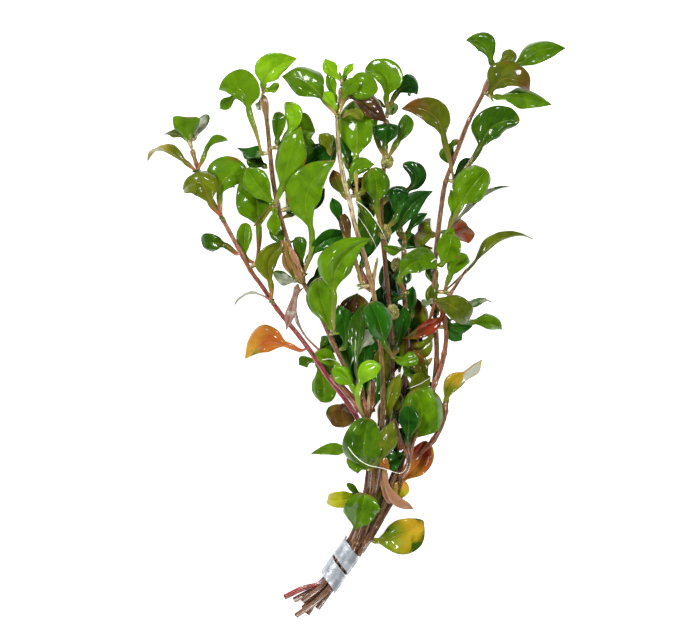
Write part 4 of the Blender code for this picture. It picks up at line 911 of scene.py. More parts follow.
def blade_sides(grid, settings):
    """How far the upper and the under side are from the middle of the blade."""
    span = grid.across * grid.half
    thin = settings.thickness / 2 * (1 - EDGE_THINNING * grid.across**8)
    round_rib = np.sqrt(np.clip(grid.rib**2 - span * span, 0, None))
    stalk = 1 - smooth_step(grid.along, *STALK_FADE)
    hollow = np.exp(-((span / grid.rib) ** 2)) * (1 - np.clip(grid.along, 0, 1))
    groove = GROOVE * grid.rib * (1 - stalk) * hollow
    return np.maximum(thin, round_rib * stalk * STALK_TOP) - groove, np.maximum(thin, round_rib)


def leaf_patch(form, name, finish, stalk_colour, settings):
    """A thin blade with a midrib, puffed halves and waved edges, on its stalk."""
    habit = Habit(name)
    rows = np.array([[*s.middle, *s.across, *s.up, s.rise, s.lean] for s in form.sections])
    places = distances(rows[:, :3])
    length = places[-1] - form.blade
    widths = np.linalg.norm(rows[:, 3:6], axis=1)
    wanted = leaf_rows(form.blade, places[-1])
    curve = eased(places, rows, wanted)
    middle, way_up, rise, lean = curve[:, :3], curve[:, 6:9], curve[:, 9:10], curve[:, 10:]
    half = leaf_halves(form.blade, places, widths, wanted, settings)
    grid = leaf_grid((wanted - form.blade) / length, half, lean, VEIN_SLANT * widths.max() / length)
    lift = blade_lift(grid, rise, length, widths.max(), habit, settings)
    top, bottom = blade_sides(grid, settings)

    forward = unit(np.gradient(middle, axis=0))
    up = unit(way_up - dot(way_up, forward) * forward)
    right = np.cross(forward, up)
    turn = settings.twist * habit.turn * smooth_step(grid.along, *TWISTING)
    right, up = right * np.cos(turn) + up * np.sin(turn), up * np.cos(turn) - right * np.sin(turn)
    span = grid.across * grid.half
    sheet = middle[:, None] + right[:, None] * span[..., None]
    points = sheet + up[:, None] * (lift + np.where(grid.under > 0, -bottom, top))[..., None]

    # Raised where its under side would be below the floor
    lowest = (sheet + up[:, None] * (lift - bottom)[..., None])[..., 2]
    points[..., 2] = np.maximum(points[..., 2] + np.clip(-lowest, 0, None), 0)

    full = np.ones(span.shape)
    blade = np.stack([grid.across * full, grid.along * full, grid.veins], -1)
    growth = np.stack([grid.under * full, habit.shade * full, 0 * full], -1)
    bare = 1 - smooth_step(wanted, STALK_BARE * form.blade, max(form.blade, MM))[:, None]
    rib_tint = np.exp(-((span / grid.rib) ** 2)) * np.clip(RIB_TINT - grid.along * RIB_TINT_FADE, 0, 1)
    showing = np.maximum(bare * full, rib_tint)
    stalk = np.concatenate([np.broadcast_to(stalk_colour, (*span.shape, 3)), showing[..., None]], -1)
    last = len(wanted) - 1

    def with_tip(values):
        """The rows up to the last, and the last as one point."""
        return np.vstack([values[:last].reshape(-1, values.shape[-1]), values[last].mean(0)])

    surface = (with_tip(values) for values in (blade, growth, stalk))
    return Patch(with_tip(points), rings_faces(last, span.shape[1]), *surface, finish)


def young_leaf(base, way, up, length, width, name, finish, stalk_colour, settings):
    """A small pointed leaf that grows out of a bud."""
    side = unit(np.cross(way, up))
    sections = []
    for share, half in BRACT_SHAPE:
        middle = base + way * length * share + up * length * BRACT_BEND * share**2
        rise = width * BRACT_CUP * half
        sections.append(Section(middle, side * width / 2 * half, unit(up - way * share), rise))
    form = rooted(sections, base)
    return leaf_patch(LeafForm(form.sections, 0.0), name, finish, stalk_colour, settings)


def bud_patch(start, middle, way):
    """A plump bud from inside the stem to a little past its middle, along its way."""
    chance = random.Random(str(np.round(middle / MM, 1)))
    length = np.linalg.norm(middle - start) + BUD_PAST
    side = unit(np.cross(way, (0.3, 0.2, 0.9)))
    other = np.cross(way, side)
    turns = -2 * pi * np.arange(BUD_COLUMNS) / BUD_COLUMNS
    ribs = 1 + BUD_RIB_DEPTH * np.cos(BUD_RIBS * turns + chance.uniform(0, 6))
    points = []
    for row in range(BUD_ROWS):
        share = row / BUD_ROWS
        radius = (BUD_ENDS + BUD_BELLY * sin(pi * share**1.6)) * sqrt(1 - share**4)
        ring = np.cos(turns)[:, None] * side + np.sin(turns)[:, None] * other
        points.append(start + way * length * share + ring * (radius * ribs)[:, None])
    points = np.vstack([*points, start + way * length])
    blank = np.zeros((len(points), 3))
    growth = blank + (0, chance.random(), 0)
    stalk = np.zeros((len(points), 4))
    return Patch(points, rings_faces(BUD_ROWS, BUD_COLUMNS), blank, growth, stalk, "bud")


def mesh_of(name, patches, materials):
    """One mesh of all the patches, with a material slot for each finish."""
    finishes = list(dict.fromkeys(patch.finish for patch in patches))
    points, faces, slots, start = [], [], [], 0
    for patch in patches:
        points.append(patch.points)
        faces += [tuple(start + corner for corner in face) for face in patch.faces]
        slots += [finishes.index(patch.finish)] * len(patch.faces)
        start += len(patch.points)
    mesh = bpy.data.meshes.new(name)
    mesh.from_pydata(np.vstack(points).tolist(), [], faces)
    for finish in finishes:
        mesh.materials.append(materials[finish])
    mesh.polygons.foreach_set("material_index", slots)
    for attribute in ("blade", "growth"):
        values = np.vstack([getattr(patch, attribute) for patch in patches]).astype(np.float32)
        mesh.attributes.new(attribute, "FLOAT_VECTOR", "POINT").data.foreach_set("vector", values.ravel())
    values = np.vstack([patch.stalk for patch in patches]).astype(np.float32)
    mesh.attributes.new("stalk", "FLOAT_COLOR", "POINT").data.foreach_set("color", values.ravel())
    mesh.shade_smooth()
    return mesh


def piece_of(name, mesh, slot, *nodes):
    """A piece of the bunch in the scene, in the place of the nodes if any are given."""
    piece = bpy.data.objects.new(name, mesh)
    bpy.context.scene.collection.objects.link(piece)
    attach(piece, BODY)
    if nodes:
        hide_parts(*nodes)


class Tones(NamedTuple):
    """How a finish is coloured beside its two main colours."""

    blotch: tuple  # colour of its blotches
    spread: float  # how much of it they cover
    veins: tuple
    clear: float = 0.55  # how far its veins show
    end: tuple = ()  # colour that comes in towards the tip, if any
    reach: float = 0.5  # share of the length where that starts
    right: tuple = ()  # colour of its right half, if that differs


def leaf_veins(look, across, along, veins, pairs):
    """How far the midrib, the side veins and the fine net between them show."""
    beside = look.math("PINGPONG", look.times(veins, pairs), 0.5)
    side_vein = look.times(look.band(beside, 0, 0.07, 1, 0), look.band(across, 0.7, 0.95, 1, 0))
    net = look.add("ShaderNodeTexVoronoi", {"Vector": look.place, "Scale": 800}, feature="DISTANCE_TO_EDGE")
    netting = look.band(net.outputs["Distance"], 0, 0.12, 1, 0)
    midrib = look.times(look.band(across, 0.015, 0.055, 1, 0), look.band(along, 0.1, 0.95, 1, 0.25))
    return look.math("MAXIMUM", midrib, look.times_plus(netting, 0.1, look.times(side_vein, 0.3)))


def leaf_material(finish, light, deep, tones, pairs):
    """A wet leaf: mottled between two colours, with veins, blotches and a paler under side."""
    look = Shading(
        f"{finish} leaf", coat_weight=0.6, coat_roughness=0.08, coat_ior=1.33, specular_ior_level=0.05
    )
    blade = look.add("ShaderNodeSeparateXYZ", {0: look.attribute("blade", "Vector")}).outputs
    growth = look.add("ShaderNodeSeparateXYZ", {0: look.attribute("growth", "Vector")}).outputs
    across, along = look.math("ABSOLUTE", blade["X"]), blade["Y"]
    mottle = look.times_plus(look.noise(150, 3, distortion=0.8), 1.9, -0.9)
    colour = look.mix(look.times_plus(growth["Y"], 0.9, mottle, clamp=True), deep, light)
    if tones.end:
        wander = look.times_plus(look.noise(130, 3, distortion=1.0), 0.5, along)
        colour = look.mix(look.band(wander, tones.reach + 0.05, tones.reach + 0.5), colour, tones.end)
    if tones.right:
        wander = look.times_plus(look.noise(180, 2), 0.4, blade["X"])
        colour = look.mix(look.band(wander, 0.12, 0.3), colour, tones.right)

    # Blotches come first at the edges and towards the tip
    at_edge = look.times(look.math("POWER", across, 4), 0.15)
    at_tip = look.times(look.math("POWER", look.math("MAXIMUM", along, 0), 3), 0.1)
    blotches = look.math("ADD", look.math("ADD", look.noise(110, 4, distortion=1.2), at_edge), at_tip)
    colour = look.mix(look.band(blotches, 0.78 - tones.spread, 0.94 - tones.spread), colour, tones.blotch)

    lines = leaf_veins(look, across, along, blade["Z"], pairs)
    colour = look.mix(look.times(lines, tones.clear), colour, tones.veins)
    colour = look.mix(growth["X"], colour, look.mix(0.35, colour, UNDER_SIDE))
    colour = look.mix(look.band(along, 0.93, 1, 0, 0.8), colour, DRY_POINT)
    colour = look.mix(look.attribute("stalk", "Alpha"), colour, look.attribute("stalk", "Color"))
    colour = look.mix(look.band(look.noise(1500, 1), 0.72, 0.78, 0, 0.35), colour, SPECKS)
    relief = look.times_plus(lines, -0.6, look.times(look.noise(1400, 3), 0.5))
    relief = look.times_plus(look.noise(420, 2), 1.6, relief)
    return look.made(colour, look.band(look.noise(260, 2), 0.3, 0.7, 0.22, 0.45), relief, 0.09 * MM)


def bud_material(settings):
    """A downy bud between olive and straw."""
    look = Shading("bud", coat_weight=0.3, coat_roughness=0.1)
    colour = look.mix(look.band(look.noise(500, 3), 0.35, 0.65), settings.olive_deep, (0.40, 0.30, 0.12))
    return look.made(colour, look.band(look.noise(900), 0.3, 0.7, 0.35, 0.6), look.noise(1500, 4), 0.2 * MM)


def leaf_materials(settings):
    """Each finish's material, under its name."""
    leafy, fresh = tuple(settings.green_deep), tuple(settings.green_light)
    rust, brown = (0.20, 0.06, 0.008), (0.10, 0.045, 0.008)
    kinds = {
        "green": ("green", Tones(rust, 0.04, (0.13, 0.25, 0.01), 0.35)),
        "lime": ("lime", Tones(fresh, 0.08, (0.32, 0.44, 0.06), 0.4)),
        # the dark finish is partly painted shade, for leaves that lie in shade
        "dark": ("dark", Tones((0.05, 0.08, 0.004), 0.06, (0.05, 0.18, 0.015), 0.35)),
        "olive": ("olive", Tones(rust, 0.03, (0.20, 0.21, 0.02), 0.4)),
        "sage": ("faded", Tones(leafy, 0.26, (0.28, 0.30, 0.16), 0.5)),
        "amber": ("olive", Tones(leafy, 0.06, (0.26, 0.18, 0.03), 0.4, (0.30, 0.20, 0.01), 0.5)),
        "citron": ("lime", Tones(leafy, 0.04, (0.34, 0.38, 0.07), 0.4, (0.32, 0.31, 0.01), 0.35)),
        "gold": ("yellow", Tones(leafy, 0.2, (0.34, 0.16, 0.02), 0.5, (0.38, 0.24, 0.01), 0.5)),
        "yellow": ("yellow", Tones(
            (0.32, 0.13, 0.008), 0.08, (0.40, 0.20, 0.03), 0.5, (0.42, 0.20, 0.02), 0.6
        )),
        "orange": ("orange", Tones(
            (0.14, 0.14, 0.006), 0.14, (0.42, 0.07, 0.05), 0.8, (0.40, 0.22, 0.02), 0.6
        )),
        "ember": ("orange", Tones(
            (0.26, 0.15, 0.01), 0.16, (0.40, 0.13, 0.04), 0.6, (0.14, 0.014, 0.005), 0.5
        )),
        "flame": ("orange", Tones(
            (0.26, 0.22, 0.01), 0.2, (0.36, 0.20, 0.09), 0.5, (0.24, 0.15, 0.08), 0.6,
            right=(0.32, 0.33, 0.26),
        )),
        "brown": ("brown", Tones(leafy, 0.14, (0.16, 0.08, 0.02), 0.4)),
        "umber": ("olive", Tones(rust, 0.10, (0.20, 0.13, 0.02), 0.4, (0.09, 0.04, 0.005), 0.6)),
        "russet": ("red", Tones(
            (0.08, 0.07, 0.005), 0.2, (0.20, 0.05, 0.02), 0.4, (0.07, 0.05, 0.005), 0.6
        )),
        "red": ("red", Tones((0.05, 0.02, 0.005), 0.16, (0.22, 0.05, 0.02), 0.4, (0.14, 0.04, 0.008), 0.6)),
        "mauve": ("faded", Tones((0.22, 0.11, 0.09), 0.38, (0.30, 0.18, 0.15), 0.6)),
        "tan": ("olive", Tones((0.2, 0.11, 0.03), 0.36, (0.26, 0.17, 0.06), 0.6)),
        "dry": ("faded", Tones(
            (0.28, 0.13, 0.07), 0.45, (0.48, 0.38, 0.24), 0.5, (0.36, 0.34, 0.30), 0.75
        )),
        "faded": ("faded", Tones(brown, 0.04, (0.36, 0.36, 0.28))),
    }
    made = {"bud": bud_material(settings)}
    for finish, (colours, tones) in kinds.items():
        light, deep = (tuple(getattr(settings, f"{colours}_{part}")) for part in ("light", "deep"))
        made[finish] = leaf_material(finish, light, deep, tones, settings.vein_pairs)
    return made


def stem_material(name, stops):
    """A ribbed stem that changes colour along its length, with darker joints and fine streaks."""
    look = Shading(f"{name} skin", coat_weight=0.8, coat_roughness=0.2, specular_ior_level=0.1)
    ramp = look.add("ShaderNodeValToRGB", {"Fac": look.attribute("share")})
    points = ramp.color_ramp.elements
    for index, (place, colour) in enumerate(stops):
        stop = points[index] if index < 2 else points.new(place)
        stop.position = place
        stop.color = (*colour, 1)

    # The pattern changes faster round the stem than along it, which draws it out into streaks
    turn = look.times(look.attribute("around"), 2 * pi)
    skin = look.add("ShaderNodeCombineXYZ", {
        "X": look.math("COSINE", turn), "Y": look.math("SINE", turn),
        "Z": look.times(look.attribute("run"), STREAK_RUN),
    }).outputs[0]
    streaks = look.noise(3.5, 4, vector=skin)
    colour = look.mix(look.band(streaks, 0.42, 0.58, 0, 0.85), ramp.outputs[0], (0.04, 0.012, 0.004))
    pale_lines = look.band(look.noise(6, 3, vector=skin), 0.5, 0.66, 0, 0.35)
    colour = look.mix(pale_lines, colour, (0.36, 0.19, 0.06))
    dots = look.band(look.noise(1300, 1), 0.66, 0.74, 0, 0.25)
    colour = look.mix(dots, colour, (0.50, 0.34, 0.16))
    joints = look.band(look.attribute("swell"), 0.1, 0.4, 0, 0.5)
    colour = look.mix(joints, colour, (0.24, 0.11, 0.05))
    return look.made(
        colour, look.band(streaks, 0.3, 0.7, 0.28, 0.5), look.noise(9, 4, vector=skin), 0.25 * MM
    )


def cut_material():
    """Pale pith at a cut end."""
    look = Shading("cut end", roughness=0.6)
    colour = look.mix(look.band(look.noise(1400, 3), 0.35, 0.65), (0.42, 0.20, 0.11), (0.66, 0.44, 0.27))
    return look.made(colour, relief=look.noise(2500, 3), depth=0.3 * MM)


def stem_tree():
    """Turns a path with a girth at each point into a ribbed tube."""
    nodes = Growth("ribbed stem", ribs=7, rib_depth=0.07, roughness=0.05 * MM, sides=28)
    given = nodes.given
    factor = nodes.add("GeometryNodeSplineParameter").outputs["Factor"]
    circle = nodes.add("GeometryNodeCurvePrimitiveCircle", {"Resolution": given["Sides"], "Radius": 1.0})
    turn = nodes.times(nodes.times(factor, 2 * pi), given["Ribs"])
    swell = nodes.times_plus(nodes.math("COSINE", turn), given["Rib Depth"], 1.0)
    position = nodes.add("GeometryNodeInputPosition").outputs[0]
    profile = nodes.add("GeometryNodeSetPosition", {
        "Geometry": circle.outputs[0], "Position": nodes.scaled(position, swell)
    })
    profile = nodes.add("GeometryNodeStoreNamedAttribute", {
        "Geometry": profile.outputs[0], "Name": "around", "Value": factor
    }, data_type="FLOAT")
    path = nodes.add("GeometryNodeMeshToCurve", {"Mesh": given["Geometry"]})
    path = nodes.add("GeometryNodeSetCurveTilt", {
        "Curve": path.outputs[0], "Tilt": nodes.times(nodes.named("run"), RIB_TURNING)
    })
    tube = nodes.add("GeometryNodeCurveToMesh", {
        "Curve": path.outputs[0], "Profile Curve": profile.outputs[0], "Scale": nodes.named("girth"),
        "Fill Caps": True,
    })
    bumps = nodes.add("ShaderNodeTexNoise", {"Vector": position, "Scale": 700.0}).outputs["Fac"]
    normal = nodes.add("GeometryNodeInputNormal").outputs[0]
    push = nodes.times(nodes.math("SUBTRACT", bumps, 0.5), given["Roughness"])
    rough = nodes.add("GeometryNodeSetPosition", {
        "Geometry": tube.outputs[0], "Offset": nodes.scaled(normal, push)
    })
    nodes.end(rough.outputs[0])
    return nodes


def path_mesh(points, **values):
    """A line of points with a value of each name at each point."""
    mesh = bpy.data.meshes.new("path")
    mesh.from_pydata(points.tolist(), [(i, i + 1) for i in range(len(points) - 1)], [])
    for name, numbers in values.items():
        mesh.attributes.new(name, "FLOAT", "POINT").data.foreach_set("value", numbers.astype(np.float32))
    return mesh


def inset_cut(mesh, material):
    """Gives the stem's flat cut end a sunken core of its own material."""
    mesh.materials.append(material)
    solid = bmesh.new()
    solid.from_mesh(mesh)
    caps = [face for face in solid.faces if len(face.verts) > 4]
    cut = max(caps, key=lambda face: face.calc_area())
    normal = cut.normal.copy()
    bmesh.ops.inset_region(solid, faces=[cut], thickness=PITH_EDGE)
    cut.material_index = 1
    bmesh.ops.inset_region(solid, faces=[cut], thickness=PITH_RIM)
    for vert in cut.verts:
        vert.co -= normal * PITH_DEPTH
    middle = bmesh.ops.poke(solid, faces=[cut])["verts"][0]
    middle.co += normal * PITH_RISE
    solid.to_mesh(mesh)
    solid.free()


class CUTTINGS_OT_stems(bpy.types.Operator):
    """Grow the ribbed stems round the middle lines of their solids"""

    bl_idname = "cuttings.stems"
    bl_label = "Stems"

    def execute(self, context):
        settings = context.scene.cuttings.stems
        tree = stem_tree()
        cut = cut_material()
        for stem in STEMS:
            places = distances(stem.points)
            steps = steps_of(places[-1], STEM_STEP)
            curve = eased(places, np.column_stack([stem.points, stem.radii]), steps)
            plain = np.interp(steps, (0, places[-1]), (stem.radii[0], np.median(stem.radii[-6:-1])))
            swell = np.clip(curve[:, 3] / plain - 1, 0, None)
            swell = swell * smooth_step(swell, 0.05, 0.5)
            past = np.clip((steps - places[-2]) / (places[-1] - places[-2]), 0, 0.999)
            girth = plain * (1 + settings.swelling * swell) * STEM_SHARE * np.sqrt(1 - past**2)
            mesh = path_mesh(
                curve[:, :3], girth=girth, run=steps, share=steps / places[-1], swell=swell
            )
            material = stem_material(stem.node, STEM_COLOURS[stem.node][0])
            grown = tree.grow(mesh, material, ribs=settings.ribs, rib_depth=settings.rib_depth)
            inset_cut(grown, cut)
            piece_of(f"ribbed_{stem.node}", grown, SLOTS[stem.node], stem.node)
        return {"FINISHED"}


class CUTTINGS_OT_side_shoots(bpy.types.Operator):
    """Grow the bare side shoots that stand between the stems"""

    bl_idname = "cuttings.side_shoots"
    bl_label = "Side Shoots"

    def execute(self, context):
        settings = context.scene.cuttings.stems
        tree = stem_tree()
        skins = {kind: stem_material(kind + " shoot", stops) for kind, stops in SHOOT_COLOURS.items()}
        for number, (route, first, last, kind) in enumerate(SHOOTS, 1):
            points = np.array(route) * MM
            places = distances(points)
            steps = steps_of(places[-1], STEM_STEP)
            share = steps / places[-1]
            joint = np.exp(-(((steps % SHOOT_JOINT_PITCH) - SHOOT_JOINT_START) / SHOOT_JOINT_REACH) ** 2)
            taper = np.sqrt(1 - 0.96 * share**24)
            girth = MM * (first + (last - first) * share) * (1 + SHOOT_SWELLING * joint) * taper
            line = eased(places, points, steps)
            mesh = path_mesh(line, girth=girth, run=steps, share=share, swell=SHOOT_SWELLING * joint)
            grown = tree.grow(mesh, skins[kind], ribs=settings.ribs, rib_depth=settings.rib_depth)
            piece_of(f"side_shoot_{number}", grown, "stem_brown")
        return {"FINISHED"}


def sprig(node, rest, settings):
    """The base that a sprig's leaves grow from, the colour of their stalks, and its bud with its bracts."""
    base = np.median(rest, axis=0)
    stem, point, radius = nearest_stem(base)
    way = unit(base - point)
    stalk_colour = STEM_COLOURS[stem.node][1]
    bud = bud_patch(point + way * radius * 0.4, base, way)
    return base, stalk_colour, [bud, *bracts(node, base, way, stalk_colour, settings)]


def single(leaves):
    """The base that a single leaf grows from, the colour of its stalk, and no other patches."""
    start = leaves[0][0].middle
    stem, point, radius = nearest_stem(start)
    return point + unit(start - point) * radius * 0.5, STEM_COLOURS[stem.node][1], []


class CUTTINGS_OT_leaves(bpy.types.Operator):
    """Grow the leaves and buds in the places of their solids, and the leaves that lie between the stems"""

    bl_idname = "cuttings.leaves"
    bl_label = "Leaves"

    def execute(self, context):
        settings = context.scene.cuttings.leaves
        materials = leaf_materials(settings)
        for node in frame["nodes"]:
            if node.startswith("stem_") or node == "lead_strip":
                continue
            leaves, rest = read_leaves(node)
            if node in SPRIG_FINISHES:
                finishes = SPRIG_FINISHES[node].split()
                base, stalk_colour, patches = sprig(node, rest, settings)
            else:
                finishes = [LEAF_FINISHES.get(node, SLOTS[node].removeprefix("leaf_"))]
                base, stalk_colour, patches = single(leaves)
            if len(leaves) != len(finishes):
                raise RuntimeError(f"{node} has {len(leaves)} leaves and {len(finishes)} finishes")
            for number, (sections, finish) in enumerate(zip(leaves, finishes)):
                form = rooted(sections, base)
                patches.append(leaf_patch(form, f"{node} {number}", finish, stalk_colour, settings))
            piece_of(f"fresh_{node}", mesh_of(node, patches, materials), SLOTS[node], node)
        for number, (*route, width, finish) in enumerate(STRAY_LEAVES, 1):
            patch = stray_leaf(f"stray {number}", np.array(route) * MM, width * MM, finish, settings)
            mesh = mesh_of(f"stray_{number}", [patch], materials)
            piece_of(f"stray_leaf_{number}", mesh, "leaf_green")
        return {"FINISHED"}


def stray_leaf(name, route, width, finish, settings):
    """A leaf on a smooth way through the route's points, facing up."""
    places = distances(route)
    start = places[1] / places[-1]
    sections = []
    for step, half in STRAY_WIDTHS:
        share = start + (1 - start) * step
        spot = np.array([share * places[-1]])
        middle, ahead = eased(places, route, np.append(spot, spot * 0.98 + places[-1] * 0.02 - 0.05 * MM))
        forward = unit(ahead - middle) if step < 1 else forward
        up = unit(STRAY_FACING - forward * dot(forward, STRAY_FACING))
        reach = max(width / 2 * half, STALK_RADIUS if step < 1 else 0)
        sections.append(Section(middle, np.cross(forward, up) * reach, up, width * STRAY_CUP * half))
    return leaf_patch(rooted(sections, route[0]), name, finish, STRAY_STALK, settings)


def bracts(node, base, way, stalk_colour, settings):
    """Small leaves round a bud."""
    chance = random.Random(node)
    side = unit(np.cross(way, (0.1, 0.3, 0.9)))
    other = np.cross(way, side)
    size = MM if node.startswith("tip_") else SPRIG_BRACTS * MM
    made = []
    for number in range(BRACT_COUNT):
        turn = 2 * pi * (number + chance.uniform(0, 0.5)) / BRACT_COUNT
        out = cos(turn) * side + sin(turn) * other
        heading = unit(way + out * chance.uniform(0.5, 1.1))
        up = unit(way - dot(way, heading) * heading)
        length, width = chance.uniform(*BRACT_LENGTHS) * size, chance.uniform(*BRACT_WIDTHS) * size
        finish = chance.choice(BRACT_FINISHES)
        name = f"{node} bract {number}"
        start = base + out * 0.5 * MM
        made.append(young_leaf(start, heading, up, length, width, name, finish, stalk_colour, settings))
    return made


def head_tree():
    """Sets short pointed bracts closely all over an egg."""
    nodes = Growth(
        "flower head", bracts=130, bract_length=1.1 * MM, radius=2.4 * MM, length=3.2 * MM, seed=3
    )
    given = nodes.given
    index = nodes.add("GeometryNodeInputIndex").outputs[0]
    level = nodes.math("DIVIDE", nodes.math("ADD", index, 0.5), given["Bracts"])
    height = nodes.times_plus(level, -2.0, 1.0)
    ring = nodes.math("SQRT", nodes.math("SUBTRACT", 1.0, nodes.times(height, height)))
    turn = nodes.times(index, pi * (3 - sqrt(5)))
    ball = nodes.add("ShaderNodeCombineXYZ", {
        "X": nodes.times(ring, nodes.math("COSINE", turn)),
        "Y": nodes.times(ring, nodes.math("SINE", turn)),
        "Z": height,
    }).outputs[0]
    size = nodes.add("ShaderNodeCombineXYZ", {
        "X": given["Radius"], "Y": given["Radius"], "Z": given["Length"]
    }).outputs[0]
    place = nodes.scaled(nodes.vectors("MULTIPLY", ball, size), HEAD_BRACTS)
    points = nodes.add("GeometryNodePoints", {"Count": given["Bracts"], "Position": place})
    bract = nodes.add("GeometryNodeMeshCone", {
        "Vertices": 6, "Side Segments": 2, "Radius Top": 0.0,
        "Radius Bottom": nodes.times(given["Bract Length"], 0.42), "Depth": given["Bract Length"],
    })
    flat = nodes.add("GeometryNodeTransform", {"Geometry": bract.outputs[0], "Scale": (1, 0.55, 1)})
    scatter = nodes.add("FunctionNodeRandomValue", {
        0: (-0.3,) * 3, 1: (0.3,) * 3, "Seed": given["Seed"]
    }, data_type="FLOAT_VECTOR").outputs[0]
    lean = nodes.vectors("ADD", nodes.vectors("ADD", ball, (0, 0, 1.1)), scatter)
    turned = nodes.add("FunctionNodeAlignRotationToVector", {"Vector": lean}, axis="Z").outputs[0]
    scale = nodes.add("FunctionNodeRandomValue", {
        2: 0.7, 3: 1.2, "Seed": given["Seed"]
    }, data_type="FLOAT").outputs[1]
    placed = nodes.add("GeometryNodeInstanceOnPoints", {
        "Points": points.outputs[0], "Instance": flat.outputs[0], "Rotation": turned, "Scale": scale
    })
    core = nodes.add("GeometryNodeMeshIcoSphere", {"Radius": 1.0, "Subdivisions": 3})
    core = nodes.add("GeometryNodeTransform", {
        "Geometry": core.outputs[0], "Scale": nodes.scaled(size, HEAD_CORE)
    })
    both = nodes.add("GeometryNodeJoinGeometry")
    for part in (core, placed):
        nodes.tree.links.new(part.outputs[0], both.inputs[0])
    nodes.end(both.outputs[0])
    return nodes


def head_material(settings):
    """Papery bracts, mottled from brown to straw, with paler flecks."""
    look = Shading("flower head", coat_weight=0.25, coat_roughness=0.15)
    colour = look.mix(look.band(look.noise(420, 3), 0.35, 0.65), (0.17, 0.13, 0.025), settings.head_colour)
    colour = look.mix(look.band(look.noise(1300, 2), 0.55, 0.7, 0, 0.6), colour, (0.66, 0.62, 0.36))
    rough = look.band(look.noise(700), 0.3, 0.7, 0.35, 0.65)
    return look.made(colour, rough, look.noise(2600, 3), 0.15 * MM)


class CUTTINGS_OT_flower_heads(bpy.types.Operator):
    """Grow a flower head round each of the largest joints of the stems that flower"""

    bl_idname = "cuttings.flower_heads"
    bl_label = "Flower Heads"

    def execute(self, context):
        settings = context.scene.cuttings.stems
        tree = head_tree()
        material = head_material(settings)
        number = 0
        for stem in STEMS:
            if stem.node not in HEAD_SHIFTS:
                continue
            shift = np.array(HEAD_SHIFTS[stem.node]) * MM
            for index in range(1, len(stem.radii) - 1):
                radius = float(stem.radii[index])
                if radius < max(HEAD_JOINT, *stem.radii[index - 1:index + 2]):
                    continue
                number += 1
                mesh = tree.grow(
                    bpy.data.meshes.new("blank"), material, bracts=settings.bracts, seed=number,
                    bract_length=settings.bract_length, radius=radius, length=radius * HEAD_LENGTH,
                )
                way = Vector(unit(stem.points[index + 1] - stem.points[index - 1]))
                turn = Vector((0, 0, 1)).rotation_difference(way).to_matrix().to_4x4()
                mesh.transform(Matrix.Translation(stem.points[index] + shift) @ turn)
                piece_of(f"flower_head_{number}", mesh, "leaf_olive")
        return {"FINISHED"}


def root_tree():
    """Turns a path into a thin wandering thread."""
    nodes = Growth("root thread", radius=0.2 * MM, wander=0.5 * MM, seed=1.0)
    given = nodes.given
    path = nodes.add("GeometryNodeMeshToCurve", {"Mesh": given["Geometry"]})
    position = nodes.add("GeometryNodeInputPosition").outputs[0]
    noise = nodes.add("ShaderNodeTexNoise", {
        "Vector": position, "W": given["Seed"], "Scale": 160.0
    }, noise_dimensions="4D").outputs["Color"]
    shift = nodes.scaled(nodes.vectors("SUBTRACT", noise, (0.5, 0.5, 0.5)), given["Wander"])
    wandered = nodes.add("GeometryNodeSetPosition", {"Geometry": path.outputs[0], "Offset": shift})
    circle = nodes.add("GeometryNodeCurvePrimitiveCircle", {"Resolution": 8, "Radius": 1.0})
    tube = nodes.add("GeometryNodeCurveToMesh", {
        "Curve": wandered.outputs[0], "Profile Curve": circle.outputs[0],
        "Scale": nodes.times(nodes.named("girth"), given["Radius"]), "Fill Caps": True,
    })
    nodes.end(tube.outputs[0])
    return nodes


def root_material(settings):
    """A wet white thread with straw-coloured stretches."""
    look = Shading("root", coat_weight=0.3, coat_roughness=0.05)
    colour = look.mix(look.band(look.noise(300, 2), 0.4, 0.7), settings.root_colour, (0.70, 0.66, 0.48))
    return look.made(colour, look.band(look.noise(900), 0.3, 0.7, 0.25, 0.45), look.noise(3000, 2), 0.1 * MM)


class CUTTINGS_OT_roots(bpy.types.Operator):
    """Lay the white root threads over the leaves and stems below them"""

    bl_idname = "cuttings.roots"
    bl_label = "Roots"

    def execute(self, context):
        settings = context.scene.cuttings.stems
        tree = root_tree()
        material = root_material(settings)
        graph = context.evaluated_depsgraph_get()
        for number, route in enumerate(ROOTS, 1):
            plan = np.array(route) * MM
            places = distances(plan)
            steps = np.linspace(0, places[-1], max(8, int(places[-1] / ROOT_STEP)))
            plan = eased(places, plan, steps)
            heights = []
            for x, y in plan:
                hit, point, *_ = context.scene.ray_cast(graph, (x, y, ABOVE_ALL), (0, 0, -1))
                heights.append(point.z if hit else 0)
            heights = draped(np.array(heights)) + settings.root_radius
            share = steps / places[-1]
            mesh = path_mesh(np.column_stack([plan, heights]), girth=1 - ROOT_TAPER * share**2)
            grown = tree.grow(mesh, material, radius=settings.root_radius, seed=float(number))
            piece_of(f"root_{number}", grown, "stem_pale")
        return {"FINISHED"}


def draped(heights):
    """The heights of a thread pulled straight over what lies under it."""
    held = [0]
    for index in range(1, len(heights)):
        while len(held) > 1:
            before, last = held[-2:]
            rise = (heights[last] - heights[before]) * (index - before)
            if rise > (heights[index] - heights[before]) * (last - before):
                break
            held.pop()
        held.append(index)
    return np.interp(np.arange(len(heights)), held, heights[held])


